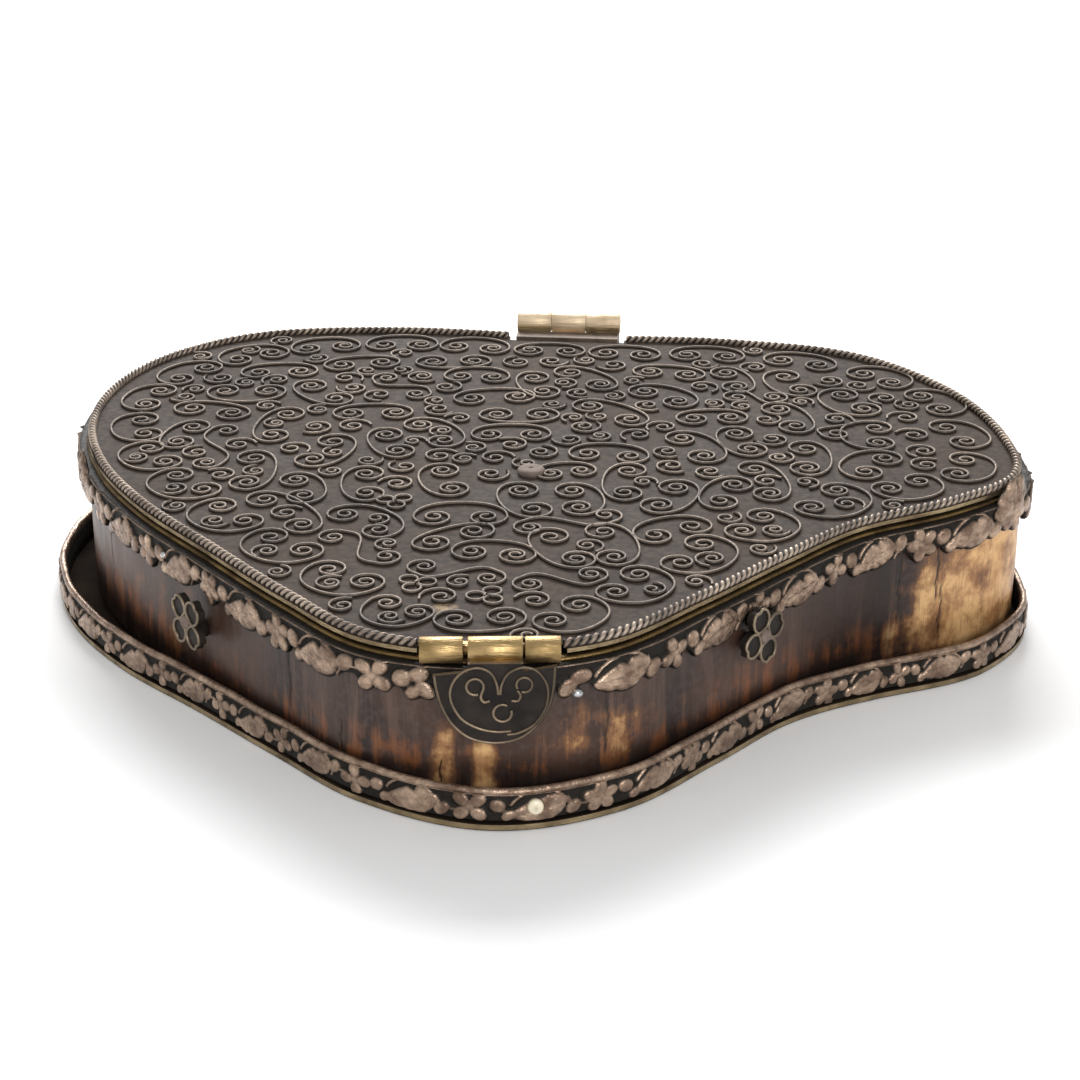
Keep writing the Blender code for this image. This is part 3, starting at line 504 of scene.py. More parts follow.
def make_bone():
    """Stained bone: brown fibres along Z, tan where the stain is thin, painted shade near black at the foot,
    and darker stretches along the wall.
    """
    n = Nodes("stained_bone")
    broad = n.noise(1.0, 3.0, 0.6, n.stretched((110.0, 110.0, 40.0)), 0.4)
    blotch = n.noise(330.0, 5.0, 0.65)
    streak = n.noise(1.0, 4.0, 0.65, n.stretched((620.0, 620.0, 55.0)), 0.3)
    fibre = n.noise(1.0, 3.0, 0.7, n.stretched((3600.0, 3600.0, 210.0)))
    pores = n.noise(1500.0, 2.0)
    low = n.value_at("low")
    brown = n.mix(n.band(broad, 0.35, 0.65), (0.027, 0.016, 0.013), (0.082, 0.040, 0.026))
    brown = n.mix(n.band(streak, 0.48, 0.68), brown, (0.115, 0.070, 0.053))
    brown = n.tint(n.band(pores, 0.45, 0.7), 0.35, brown, (0.095, 0.070, 0.064))
    russet = n.math("MULTIPLY", low, n.band(n.math("ADD", streak, blotch), 0.96, 1.12))
    brown = n.mix(russet, brown, (0.27, 0.088, 0.024))
    ripple = n.math("ADD", n.band(streak, 0.3, 0.7, -0.26, 0.26), n.band(blotch, 0.3, 0.7, -0.42, 0.38))
    pale = n.math("ADD", n.value_at("pale"), ripple)
    tan = n.mix(n.band(blotch, 0.35, 0.65), (0.32, 0.145, 0.050), (0.66, 0.40, 0.18))
    colour = n.mix(n.band(pale, 0.22, 0.66), brown, (0.205, 0.092, 0.038))
    colour = n.mix(n.band(pale, 0.52, 1.0), colour, tan)
    colour = n.tint(n.band(fibre, 0.55, 0.8), 0.5, colour, (0.024, 0.014, 0.011))
    # Painted shade: near black at the foot of the wall, above the rim; the same mask also darkens the listed
    # stretches along the wall.
    colour = n.mix(n.value_at("foot_shade_and_stretches"), colour, (0.010, 0.006, 0.005))
    colour = n.mix(n.value_at("crack"), colour, (0.006, 0.004, 0.003))
    n.bump(n.math("ADD", fibre, pores), 0.25, 0.05)
    return n.finish(colour, n.band(streak, 0.3, 0.7, 0.34, 0.50), coat=0.04, specular=0.30)


def make_plain(name, colour, other, roughness, metallic, scale=500.0, coat=0.0, specular=0.5):
    n = Nodes(name)
    tone = n.mix(n.band(n.noise(scale, 4.0), 0.35, 0.68), colour, other)
    n.bump(n.noise(scale * 4.0, 3.0), 0.2, 0.04)
    return n.finish(tone, roughness, metallic=metallic, coat=coat, specular=specular)


# Above the sheet, so that the spot stays on its upper face
WORN_SPOT = tuple(float(c) for c in lift((-4.6, -31.6, LID_TOP + 2.5)))

LID_GROUND = make_lid_ground()
# These two wires carry painted shade on their sides or between their strands, set by their last argument.
FILIGREE = make_wire("filigree_wire", (0.095, 0.073, 0.058), (0.225, 0.172, 0.130), 0.35, 0.55, True)
ROPE = make_wire("rope_wire", (0.20, 0.152, 0.118), (0.50, 0.40, 0.315), 0.4, 0.48, True)
RELIEF_METAL = make_relief("cast_relief", (0.024, 0.021, 0.018), (0.185, 0.119, 0.085), (0.56, 0.405, 0.295))
BRASS = make_brass("worn_brass", (0.52, 0.36, 0.165), (0.22, 0.145, 0.055), 0.34)
BEIGE_BRASS = make_brass("pale_brass", (0.88, 0.70, 0.48), (0.60, 0.46, 0.30), 0.5, 0.55)
AGED_BRASS = make_brass("aged_brass", (0.34, 0.25, 0.135), (0.13, 0.088, 0.045), 0.42)
GOLD_STRIP = make_brass("brass_strip", (0.24, 0.155, 0.060), (0.07, 0.043, 0.018), 0.38)
SHEET_EDGE = make_brass("sheet_edge", (0.42, 0.32, 0.185), (0.15, 0.105, 0.058), 0.34)
PALE_WIRE = make_wire("pale_wire", (0.13, 0.098, 0.068), (0.35, 0.275, 0.19), 0.6, 0.42)
HASP_WIRE = make_wire("hasp_line", (0.10, 0.074, 0.050), (0.27, 0.20, 0.135), 0.7, 0.4)
DARK_SHEET = make_plain("dark_sheet", (0.010, 0.008, 0.007), (0.026, 0.020, 0.016), 0.5, 0.05,
                        specular=0.15)
TIN = make_plain("tin_rivet", (0.125, 0.094, 0.078), (0.24, 0.185, 0.155), 0.7, 0.15, specular=0.2)
# Near-black tray sheet: painted shade on the tray's floor inside the rim.
TRAY_PAINTED_SHADE = make_plain("tray_sheet", (0.010, 0.007, 0.005), (0.024, 0.016, 0.011), 0.9, 0.0, 200.0,
                        specular=0.02)
STRAP_METAL = make_plain("strap_metal", (0.075, 0.055, 0.042), (0.17, 0.125, 0.09), 0.5, 0.5)
CREAM = make_plain("cream_bone", (0.80, 0.72, 0.55), (0.66, 0.56, 0.38), 0.3, 0.0, 900.0, 0.3)
SOLDER = make_plain("solder", (0.62, 0.62, 0.62), (0.42, 0.42, 0.43), 0.22, 0.9, 1500.0)
BONE = make_bone()


# Relief of the bands


STEM_WIDTH = 0.26


class Relief:
    """Heights over a band's face. s runs round the band and z up it, in millimetres."""

    def __init__(self, z):
        self.z = z
        self.height = np.zeros(z.shape)

    def window(self, s, z, reach, angle=0.0):
        """The columns near a point, and the way from it along and across a direction."""
        past = FINE.past(s)
        columns = np.nonzero(np.abs(past) < reach)[0]
        ds = past[columns][:, None]
        dz = self.z[columns] - z
        return (columns, ds * math.cos(angle) + dz * math.sin(angle),
                dz * math.cos(angle) - ds * math.sin(angle))

    def raise_to(self, columns, height):
        self.height[columns] = np.maximum(self.height[columns], height)

    def leaf(self, s, z, length, width, angle, bend, notch):
        """A leaf with a fat end, a point, a vein and a notch in its upper edge."""
        columns, a, b = self.window(s, z, length, angle)
        t = np.clip(2 * a / length, -1.0, 1.0)
        b = b - bend * (1 - t * t)
        half = width / 2 * (1 - t * t) ** 0.62 * (1 + 0.34 * t)
        half = half * (1 - notch * bell(t - 0.25, 0.12) * (b > 0))
        half = half * (1 - 0.6 * notch * bell(t + 0.35, 0.10) * (b < 0))
        q = np.abs(b) / np.maximum(half, 1e-4)
        body = np.sqrt(np.clip(1 - q**3, 0, 1)) * (np.abs(2 * a / length) < 1)
        vein = 0.22 * bell(b, 0.11) * (np.abs(t) < 0.75)
        ribs = 0.16 * np.abs(np.sin(8 * t + 3 * np.sign(b) * q)) ** 8
        self.raise_to(columns, np.clip(body - (vein + ribs) * body, 0, 1))

    def petal(self, s, z, length, width, angle, top=0.95):
        columns, a, b = self.window(s, z, length, angle)
        q = (a * 2 / length) ** 2 + (b * 2 / width) ** 2
        self.raise_to(columns, top * np.sqrt(np.clip(1 - q**1.6, 0, 1)))

    def blossom(self, s, z, size, petals, turn):
        """Rounded petals about a small boss."""
        for k in range(petals):
            angle = turn + 2 * math.pi * k / petals
            x, y = size * 0.29 * math.cos(angle), size * 0.29 * math.sin(angle)
            self.petal(s + x, z + y, size * 0.46, size * 0.38, angle)
        self.petal(s, z, size * 0.26, size * 0.26, 0.0, 0.8)

    def tendril(self, s, z, radius, start, end, top=0.75):
        """A curved stem, an arc of a circle."""
        columns, ds, dz = self.window(s, z, radius + 1)
        turn = 2 * math.pi
        inside = (np.arctan2(dz, ds) - start) % turn < (end - start) % turn
        away = np.abs(np.hypot(ds, dz) - radius) * 2 / STEM_WIDTH
        self.raise_to(columns, top * np.sqrt(np.clip(1 - away**2, 0, 1)) * inside)


def carve_band(relief, low, high, step, starts, seed, leaf_width, flower):
    """Leaves, blossoms and stems in turn, between two heights. starts are where each set begins."""
    rng = random.Random(seed)
    tall = high - low
    mid = (low + high) / 2
    for k, s in enumerate(starts):
        side = 1 if k % 2 == 0 else -1
        relief.leaf(s + 0.22 * step, mid + (0.03 * side - 0.07) * tall, rng.uniform(0.43, 0.48) * step,
                    tall * leaf_width * rng.uniform(0.94, 1.06), rng.uniform(0.12, 0.34), -side * 0.2,
                    rng.uniform(0.15, 0.35))
        relief.petal(s + 0.49 * step, mid - side * 0.17 * tall, 0.62 * tall, 0.46 * tall,
                     rng.uniform(0.5, 1.3))
        relief.blossom(s + 0.71 * step, mid + rng.uniform(-0.05, 0.05) * tall,
                       tall * flower * rng.uniform(0.95, 1.05), rng.choice((4, 4, 5)), rng.uniform(0.0, 1.5))
        relief.petal(s + 0.92 * step, mid + 0.10 * tall, 0.56 * tall, 0.5 * tall, -0.9 * side, 1.0)
        relief.petal(s + step, mid - 0.26 * tall, 0.50 * tall, 0.38 * tall, 0.7, 0.9)
        relief.tendril(s + 0.23 * step, mid - 0.30 * tall, 0.24 * step, 0.25, 2.7, 0.9)
        start = math.radians(105 + 90 * side)
        relief.tendril(s + 0.58 * step, mid + side * 0.42 * tall, 0.55 * tall, start,
                       start + math.radians(150))


# The box


def rounded(values, amount=0.15):
    """Heights along a face from 0 to 1 with more rows at its ends."""
    steps = np.linspace(0, math.pi, values)
    return (1 - np.cos(steps)) / 2 * (1 - amount) + np.linspace(0, 1, values) * amount


def build_tray():
    outline = PLAN.ring(RIM_INNER + RIM_THICKNESS + TRAY_LIP, 1.0)
    mesh = slab(outline, 0.0, TRAY_THICKNESS, edge_material=1, bevel=0.08)
    new_piece("tray_sheet", mesh, "box", [TRAY_PAINTED_SHADE, SHEET_EDGE], "base_plate", smooth=False)


RIM_SETS = 29           # sets of leaves round the rim
RIM_RELIEF = 0.32
BEAD_RADIUS = 0.33
BEAD_DEPTH = 0.62       # from the top of the rim to the carved face


def build_rim():
    """The rim: carved outside up to a bead, plain inside."""
    low = TRAY_TOP
    high = low + RIM_HEIGHT
    face = high - BEAD_DEPTH
    z = all_round(low + (face - low) * rounded(22))
    relief = Relief(z)
    step = FINE.length / RIM_SETS
    starts = [1.2 + k * step for k in range(RIM_SETS)]
    carve_band(relief, low - 0.05, face + 0.1, step, starts, 7, 1.0, 1.22)
    outer = RIM_INNER + RIM_THICKNESS
    wave = ripple(0.05, 31)
    turn = np.radians(np.linspace(-60, 200, 9))
    bead = outer - 0.22 + BEAD_RADIUS * np.cos(turn) + wave
    bead_z = high - BEAD_RADIUS + BEAD_RADIUS * np.sin(turn)
    offsets = np.hstack([outer + RIM_RELIEF * relief.height, bead, all_round([RIM_INNER] * 3)])
    heights = np.hstack([z, all_round([*bead_z, high - 1.0, low + 1.0, low])])
    # The plain inner face gets a low value and so the dark ground colour: painted shade inside the rim.
    tone = np.hstack([relief.height, all_round([0.75] * 9 + [0.12] * 3)])
    mesh = band_mesh(FINE, offsets, heights, 1.0, False, {"relief": tone})
    new_piece("carved_rim", mesh, "box", RELIEF_METAL, "base_rim")


COLLAR_STEP = 10.88                 # the length of one set of leaves
COLLAR_STARTS = [7.5 + k * COLLAR_STEP for k in range(11)] + [-16.7 - k * COLLAR_STEP for k in range(11)]
COLLAR_FACE = COLLAR_TOP - 0.12     # the top of the carved face
COLLAR_LEAST = -1.25                # the lower edge where nothing hangs lower


def carved_collar(z):
    relief = Relief(z)
    carve_band(relief, -COLLAR_DROP - 0.1, 0.62, COLLAR_STEP, COLLAR_STARTS, 3, 0.86, 1.05)
    for s, height, angle in ((5.6, -1.35, 0.9), (6.6, -0.5, 0.2), (-4.9, -1.5, -0.7), (-5.4, -0.2, 0.4)):
        relief.petal(s, height, 1.9, 1.4, angle)
    return relief.height


def build_collar():
    """The collar: its lower edge follows the leaves, and its top folds in over the bone."""
    probe_z = all_round(np.linspace(-3.0, COLLAR_TOP, 60))
    foot = np.where(carved_collar(probe_z) > 0.02, probe_z, 9.0).min(axis=1) - 0.16
    foot = np.minimum(foot, COLLAR_LEAST)
    window = np.hanning(9)
    foot = np.convolve(np.concatenate([foot[-4:], foot, foot[:4]]), window / window.sum(), "valid")[:, None]
    z = foot + (COLLAR_FACE - foot) * rounded(26, 0.5)
    height = carved_collar(z)
    lip = 0.16 * bell(z - COLLAR_FACE, 0.045)
    wave = ripple(0.06, 23)
    face = COLLAR_OUTER + RELIEF * height + lip * 0.6 + wave * (lip > 0.02)
    fold = [COLLAR_OUTER - 0.1, SEAM - 0.1, SEAM - 0.1, COLLAR_INNER, COLLAR_INNER]
    heights = np.hstack([z, all_round([COLLAR_TOP, COLLAR_TOP, SEAM, SEAM]), foot])
    tone = np.hstack([np.maximum(height, lip * 4.0), all_round([0.2, 0.0, 0.0, 0.0, 0.0])])
    mesh = band_mesh(FINE, np.hstack([face, all_round(fold)]), heights, 0.0, True, {"relief": tone})
    new_piece("carved_collar", mesh, "box", RELIEF_METAL, "collar")


def build_end_leaf(name, at, low, high, width, lean):
    """A cast leaf on the collar that stands up past the lid's edge, clear of it."""
    bm = bmesh.new()
    bmesh.ops.create_uvsphere(bm, u_segments=48, v_segments=36, radius=1.0)
    mesh = mesh_from(bm)
    ball = np.empty(3 * len(mesh.vertices), np.float32)
    mesh.vertices.foreach_get("co", ball)
    across, depth, rise = ball.reshape(-1, 3).T * np.array([[1.0], [-1.0], [1.0]])
    share = (rise + 1) / 2
    vein = 0.4 * bell(across, 0.12) + 0.34 * np.abs(np.sin(9 * share - 2.4 * np.abs(across))) ** 6
    edge = (1.15 - 0.35 * share) * (1 - 0.16 * np.abs(np.sin(10 * share)) ** 4)
    run = at + lean * (share - 0.5) + width / 2 * across * edge
    offset = COLLAR_OUTER + 0.05 + np.where(depth > 0, 0.6 * depth * (1 - vein), 0.3 * depth)
    spot = [np.interp(run, FINE.run, FINE.xy[:, k], period=FINE.length)
            + offset * np.interp(run, FINE.run, FINE.out[:, k], period=FINE.length) for k in (0, 1)]
    place_points(mesh, lift(np.column_stack([*spot, low + (high - low) * share])))
    mark(mesh, "relief", 0.52 + 0.5 * depth - 0.5 * vein)
    new_piece(name, mesh, "box", RELIEF_METAL)


def build_bezel():
    low = COLLAR_TOP - 0.05
    mesh = band_mesh(PLAN, [0.0, 0.95, 0.95, 0.0], [low, low, BEZEL_TOP, BEZEL_TOP])
    new_piece("brass_strip", mesh, "box", GOLD_STRIP, "bezel", smooth=False)


def build_bone():
    share = rounded(26, 0.6)
    top = WALL_TOP + (FINE.ring(WALL_PROUD)[:, 1:] - FRONT_Y) * math.tan(TOP_SLOPE) - TRAY_TOP
    z = TRAY_TOP + top * share
    turn = FINE.run[:, None] * 2 * math.pi / FINE.length
    wave = 0.05 * np.sin(turn * 17 + 3 * share) + 0.04 * np.sin(turn * 41 + z * 0.3)
    ease = 0.18 * (bell(share, 0.03) + bell(1 - share, 0.03))
    crack = np.zeros(z.shape)
    for at, low, high, width in CRACKS:
        drift = 0.12 * np.sin(z * 1.7 + at * 50) + 0.06 * np.sin(z * 5.1)
        away = np.abs(FINE.past(at * FINE.length)[:, None] - drift) / width
        crack = np.maximum(crack, np.clip(1.3 - away, 0, 1) * ((share > low) & (share < high)))
    pale = np.zeros(z.shape)
    for at, reach, low, high, most in PALE_PATCHES:
        away = np.abs(FINE.past(at * FINE.length)[:, None] / reach - 0.35 * (share - 0.5))
        within = np.clip((share - low) * 4, 0, 1) * np.clip((high - share) * 4, 0, 1)
        pale = np.maximum(pale, most * np.clip(1.4 - 1.15 * away, 0, 1) * within)
    # Painted shade: the wall goes near black towards its foot, above the rim, less where the bone is pale.
    foot_shade_and_stretches = 0.94 * np.clip(1.9 - share * 5.2, 0, 1) * (1 - 0.85 * pale)
    # The dark stretches along the wall go into the same mask.
    for at, reach, most in DARK_STRETCHES:
        foot_shade_and_stretches = np.maximum(foot_shade_and_stretches, most * bell(FINE.past(at * FINE.length)[:, None], reach) * (1 - pale))
    outer = WALL_PROUD + wave * np.sin(math.pi * share) - ease - 0.12 * crack
    inner = all_round([WALL_PROUD - WALL_THICKNESS] * 4)
    inner_z = TRAY_TOP + top * np.array([1.0, 0.66, 0.33, 0.0])
    marks = {"crack": crack, "pale": pale, "low": all_round(np.clip(1.6 - share * 3.1, 0, 1)), "foot_shade_and_stretches": foot_shade_and_stretches}
    marks = {key: np.hstack([values, all_round([0.0] * 4)]) for key, values in marks.items()}
    mesh = band_mesh(FINE, np.hstack([outer, inner]), np.hstack([z, inner_z]), 0.0, False, marks)
    new_piece("bone_side", mesh, "box", BONE, "bone_wall")


FLOWER_WIDTH = 5.5
FLOWER_THICKNESS = 0.9
FLOWER_WIRE = 0.13      # radius


def build_flower(name, node, share, height, turn):
    """A quatrefoil on a stem: a dark sheet, wire round its notched petals and a rivet."""
    where, out = FINE.place(share, COLLAR_OUTER + RELIEF + SEAM)
    matrix = frame_of((-out[1], out[0], 0), (0, 0, 1), (*out, 0), (*where, height))
    angle = np.arange(160) * 2 * math.pi / 160
    away = angle - math.radians(turn)
    lobes = 0.5 * (1 + np.cos(4 * away))
    notch = bell(wrapped(away, math.pi / 2), 0.13)
    outline = polar(FLOWER_WIDTH / 2 * (0.50 + 0.50 * lobes**0.55 - 0.11 * notch), angle)
    stem = lathe([(0.0, 0.0), (0.0, 0.8), (1.3, 0.8), (1.3, 0.0)],
                 matrix @ Matrix.Translation((0, -1.0, -1.15)) @ UPRIGHT)
    sheet = [slab(outline, 0.0, FLOWER_THICKNESS - 0.25, matrix), stem]
    new_piece(name, sheet, "box", DARK_SHEET, node, smooth=False)
    around = np.radians(np.arange(-180, 180, 9))
    reach = 1.02 * (1 - 0.24 * bell(around, 0.36)) * (1 - 0.16 * bell(np.abs(around) - math.pi, 0.5))
    loop = polar(reach, around) * (1.08, 1.0) + (FLOWER_WIDTH * 0.285, 0.0)
    paths = []
    for quarter in range(4):
        axis = math.radians(turn + 90 * quarter)
        spin = np.array([[math.cos(axis), math.sin(axis)], [-math.sin(axis), math.cos(axis)]])
        paths.append(at_height(loop @ spin, FLOWER_THICKNESS - 0.17))
    new_piece(name + "_wire", wires(paths, FLOWER_WIRE, matrix), "box", PALE_WIRE)
    dome = [(0.0, 0.0), (0.0, 0.62), (0.25, 0.6), (0.42, 0.42), (0.48, 0.0)]
    stud = lathe(dome, matrix @ Matrix.Translation((0, 0, FLOWER_THICKNESS - 0.27)) @ UPRIGHT, 24)
    new_piece(name + "_stud", stud, "box", TIN)


def build_peg():
    share, height = PEG
    where, out = FINE.place(share, RIM_INNER + RIM_THICKNESS + SEAM, 1.0)
    matrix = frame_of((*out, 0), (-out[1], out[0], 0), (0, 0, 1), (*where, height))
    profile = [(-0.3, 0.0), (-0.3, 0.65), (0.15, 0.65), (0.30, 0.58), (0.38, 0.40), (0.40, 0.0)]
    new_piece("cream_peg", lathe(profile, matrix, 32), "box", CREAM, "rim_peg")


def build_solder():
    """Two beads of solder left on the collar."""
    for k, (share, z, radius) in enumerate(((0.0243, -1.9, 0.5), (0.853, -0.6, 0.38))):
        where = FINE.place(share, COLLAR_OUTER + 0.1)[0]
        matrix = Matrix.LocRotScale(Vector(lift((*where, z))), None, Vector((1.0, 1.0, 0.85)))
        bm = bmesh.new()
        bmesh.ops.create_uvsphere(bm, u_segments=24, v_segments=16, radius=radius, matrix=matrix)
        new_piece("solder_bead_%d" % (k + 1), mesh_from(bm, MM), "box", SOLDER)


# Places: shares of the way round from the front point, and heights
PEG = (0.0114, 2.1)
CRACKS = ((0.925, 0.30, 0.98, 0.13), (0.952, 0.1, 0.45, 0.08), (0.985, 0.0, 0.3, 0.08),
          (0.035, 0.3, 0.80, 0.08), (0.192, 0.45, 0.9, 0.12), (0.194, 0.15, 0.55, 0.10),
          (0.176, 0.3, 0.95, 0.07), (0.80, 0.2, 0.8, 0.06), (0.62, 0.1, 0.7, 0.07), (0.42, 0.3, 0.9, 0.06))
# shares of the way round and of the height, half widths, and how strong each is
PALE_PATCHES = ((0.218, 11.5, -0.2, 1.4, 1.0), (0.986, 1.3, -0.2, 0.70, 0.78),
                (0.998, 1.3, -0.2, 0.66, 0.82), (0.032, 5.0, 0.1, 0.8, 0.42), (0.857, 3.0, 0.0, 0.9, 0.40),
                (0.36, 6.0, 0.1, 0.9, 0.6), (0.70, 5.0, 0.2, 1.2, 0.5))
DARK_STRETCHES = ((0.150, 11.0, 0.62), (0.168, 4.5, 0.80), (0.062, 5.0, 0.35), (0.90, 8.0, 0.30))

build_tray()
build_rim()
build_bone()
build_collar()
build_end_leaf("end_leaf_right", 58.4, -1.7, 3.1, 4.3, 0.9)
build_end_leaf("end_leaf_left", -58.6, -2.0, 2.3, 3.8, -0.8)
build_bezel()
build_flower("left_blossom", "left_flower", 0.874, 8.5, 45.0)
build_flower("right_blossom", "right_flower", 0.097, 10.3, 20.0)
build_peg()
build_solder()


# The lid


CLASP_AT = middle("clasp_pin")
HINGE_AT = middle("hinge_pin")
HASP_AXIS = next(Vector(j["axis"]) for j in frame["joints"] if j["name"] == "hasp_hinge")
CLASP_X = -HASP_AXIS.normalized()
CLASP_Z = (TOP_TURN @ Vector((0, 0, 1))).normalized()
CLASP_FRAME = frame_of(CLASP_X, CLASP_Z.cross(CLASP_X), CLASP_Z, CLASP_AT)
HINGE_FRAME = Matrix.Translation(HINGE_AT) @ TOP_TURN
CLASP_TURN = math.radians(6.0)
CLASP_HALF = 5.55
CLASP_BACK = 1.85
CLASP_PLAN = np.array([0.0, FRONT_Y - COLLAR_OUTER - SEAM + BARREL_RADIUS])
CLASP_AXES = np.array([[math.cos(CLASP_TURN), -math.sin(CLASP_TURN)],
                       [math.sin(CLASP_TURN), math.cos(CLASP_TURN)]])
HINGE_HALF = 5.7
NOTCH_HALF = HINGE_HALF + 0.6
NOTCH_DEPTH = 1.2


def in_clasp(xy):
    """Plan points seen from the clasp: across it and behind it."""
    return (xy - CLASP_PLAN) @ CLASP_AXES


def from_clasp(across, behind):
    return CLASP_PLAN + CLASP_AXES @ (across, behind)


def lid_outline():
    """The sheet's outline with its two notches."""
    edge = PLAN.ring(LID_MARGIN)
    seen = in_clasp(edge)
    half = CLASP_HALF + SEAM
    depth = CLASP_BACK + SEAM
    front = (np.abs(seen[:, 0]) < half) & (seen[:, 1] < depth)
    back = (np.abs(edge[:, 0]) < NOTCH_HALF) & (edge[:, 1] > 0)
    notch_y = edge[back, 1].max() - NOTCH_DEPTH
    start = np.nonzero(~front & (seen[:, 0] > 0))[0][0]
    points = []
    for i in np.roll(np.arange(len(edge)), -start):
        if not front[i] and not back[i]:
            points.append(edge[i])
        elif back[i] and not back[i - 1]:
            points += [(NOTCH_HALF, edge[i - 1][1]), (NOTCH_HALF, notch_y), (-NOTCH_HALF, notch_y)]
        elif front[i] and not front[i - 1]:
            points += [from_clasp(-half, seen[i - 1][1]), from_clasp(-half, depth), from_clasp(half, depth)]
    return points


def build_sheet():
    mesh = slab(lid_outline(), LID_BOTTOM + 0.15, LID_TOP, edge_material=1)
    place_points(mesh, lift([vertex.co / MM for vertex in mesh.vertices]))
    new_piece("lid_sheet", mesh, "lid", [LID_GROUND, SHEET_EDGE], "lid_plate", smooth=False)


ROPE_LAY = 1.45         # along the rope in one turn of a strand
STRAND_RADIUS = 0.235
ROPE_MIDDLE = LID_TOP + ROPE_RADIUS - 0.06


def build_rope(name, side, node):
    """Two strands twisted together, on one side from the clasp to the hinge."""
    fine = Plan(ROPE_COLUMNS)
    clear_front = np.abs(in_clasp(fine.xy)[:, 0]) > CLASP_HALF + 0.1
    clear_back = np.abs(fine.xy[:, 0]) > NOTCH_HALF + 0.2
    keep = np.where(fine.xy[:, 1] < 0, clear_front, clear_back) & (np.sign(fine.xy[:, 0]) == side)
    xy, out, run = fine.xy[keep], fine.out[keep], fine.run[keep, None]
    around = np.radians(np.arange(0, 360, 45))
    swing = ROPE_RADIUS + 0.02 - STRAND_RADIUS
    meshes = []
    for turn in (0.0, math.pi):
        angle = 2 * math.pi * run / ROPE_LAY + turn
        offset = ROPE_PLACE + swing * np.cos(angle) + STRAND_RADIUS * 1.08 * np.cos(around)
        height = ROPE_MIDDLE + swing * np.sin(angle) + STRAND_RADIUS * 1.08 * np.sin(around)
        places = xy[:, None, :] + out[:, None, :] * offset[..., None]
        points = lift(np.concatenate([places, height[..., None]], axis=-1))
        away = np.hypot(offset - ROPE_PLACE, height - ROPE_MIDDLE)
        # The low "top" values, near the rope's middle, are the gaps between strands: the material paints them
        # near black as painted shade.
        meshes.append(mesh_of(points, grid_quads(len(xy), 8, closed=False), {"top": (away - 0.20) / 0.19}))
    new_piece(name, meshes, "lid", ROPE, node)


def head(centre, radius, start, way, turns, steps=28):
    """A spiral from the rim of a scroll's head in to a small closed eye, beginning at an angle."""
    t = np.linspace(0, 1, steps)
    arm = radius * (1 - 0.72 * np.clip(t / 0.7, 0, 1) ** 0.95)
    return centre + polar(arm, start + way * 2 * math.pi * turns * t)


def c_scroll(a, b, radius, depth, rng):
    """Two heads in the arms of one bowed back. depth is how far the back stands off, left of a to b."""
    length = np.linalg.norm(b - a)
    along = (b - a) / length
    left = np.array([-along[1], along[0]])
    way = 1 if depth > 0 else -1
    angle = math.atan2(along[1], along[0])
    first = head(a, radius, angle + math.pi, way, rng.uniform(*SCROLL_TURNS))
    second = head(b, radius, angle, -way, rng.uniform(*SCROLL_TURNS))
    t = np.radians(np.linspace(180, 0, 22))[1:-1, None]
    back = (a + b) / 2 + along * (length / 2 + radius) * np.sign(np.cos(t)) * np.abs(np.cos(t)) ** 0.9
    back = back + left * depth * np.sin(t) ** 0.9
    return np.vstack([first[::-1], back, second])


def s_scroll(a, b, radius, side, rng):
    """Two heads wound opposite ways, joined by a bowed wire that crosses from one side to the other."""
    along = (b - a) / np.linalg.norm(b - a)
    left = np.array([-along[1], along[0]]) * side
    start = math.atan2(left[1], left[0])
    first = head(a, radius, start, side, rng.uniform(*SCROLL_TURNS))
    second = head(b, radius, start + math.pi, side, rng.uniform(*SCROLL_TURNS))
    t = np.linspace(0, 1, 14)[1:-1, None]
    p, q = first[0], second[0]
    bar = p + (q - p) * t + left * 0.9 * np.sin(2 * math.pi * t)
    return np.vstack([first[::-1], bar, second])


SCROLL_TURNS = (1.6, 2.0)
S_RADIUS = 1.6          # of an s scroll's heads
SMALLEST_GAP = 1.55     # round a spot that still takes a single spiral
WIRE_SECTION = ((-0.11, -0.04), (-0.09, 0.30), (0.09, 0.30), (0.11, -0.04))

# Scrolls of the lid: the middles of two heads, and how far the back stands off to their left.
# The border goes round from the clasp by the right, then the field from front to back.
BORDER_SCROLLS = (
    (-3.4, -33.9, 0.4, -33.2, -2.5), (4.4, -33.5, 6.3, -30.4, -3.4), (9.1, -27.6, 10.8, -24.0, -4.0),
    (14.3, -21.3, 16.1, -17.1, -3.9), (19.6, -14.0, 21.4, -10.6, -4.2), (25.8, -8.1, 28.2, -3.9, -4.2),
    (33.0, -3.0, 35.9, -0.9, -3.5), (39.6, 1.2, 40.6, 4.9, -3.2), (41.0, 9.6, 39.4, 13.4, -3.2),
    (39.4, 18.6, 37.6, 22.2, -3.3), (34.8, 26.0, 32.0, 28.5, -3.4), (27.4, 30.9, 23.4, 32.2, -3.0),
    (17.6, 32.8, 13.4, 33.0, -3.0), (8.6, 32.6, 4.6, 32.8, -2.7), (0.5, 33.0, -3.6, 33.0, -2.5),
    (-7.8, 33.2, -11.8, 33.6, -3.2), (-15.8, 33.8, -19.8, 33.4, -3.2), (-24.0, 32.6, -27.8, 31.4, -3.2),
    (-31.4, 29.6, -34.6, 27.2, -3.5), (-37.4, 24.2, -39.4, 20.6, -3.3), (-40.4, 16.8, -41.0, 12.8, -3.0),
    (-40.2, 8.4, -38.9, 4.6, -3.2), (-37.6, 0.9, -35.2, -2.4, -3.6), (-33.2, -5.7, -30.0, -8.8, -3.9),
    (-27.6, -12.6, -24.6, -15.7, -4.0), (-21.6, -19.0, -18.2, -21.6, -3.9),
    (-15.3, -25.3, -11.9, -27.5, -3.8), (-9.4, -31.4, -6.7, -32.9, -3.7),
)
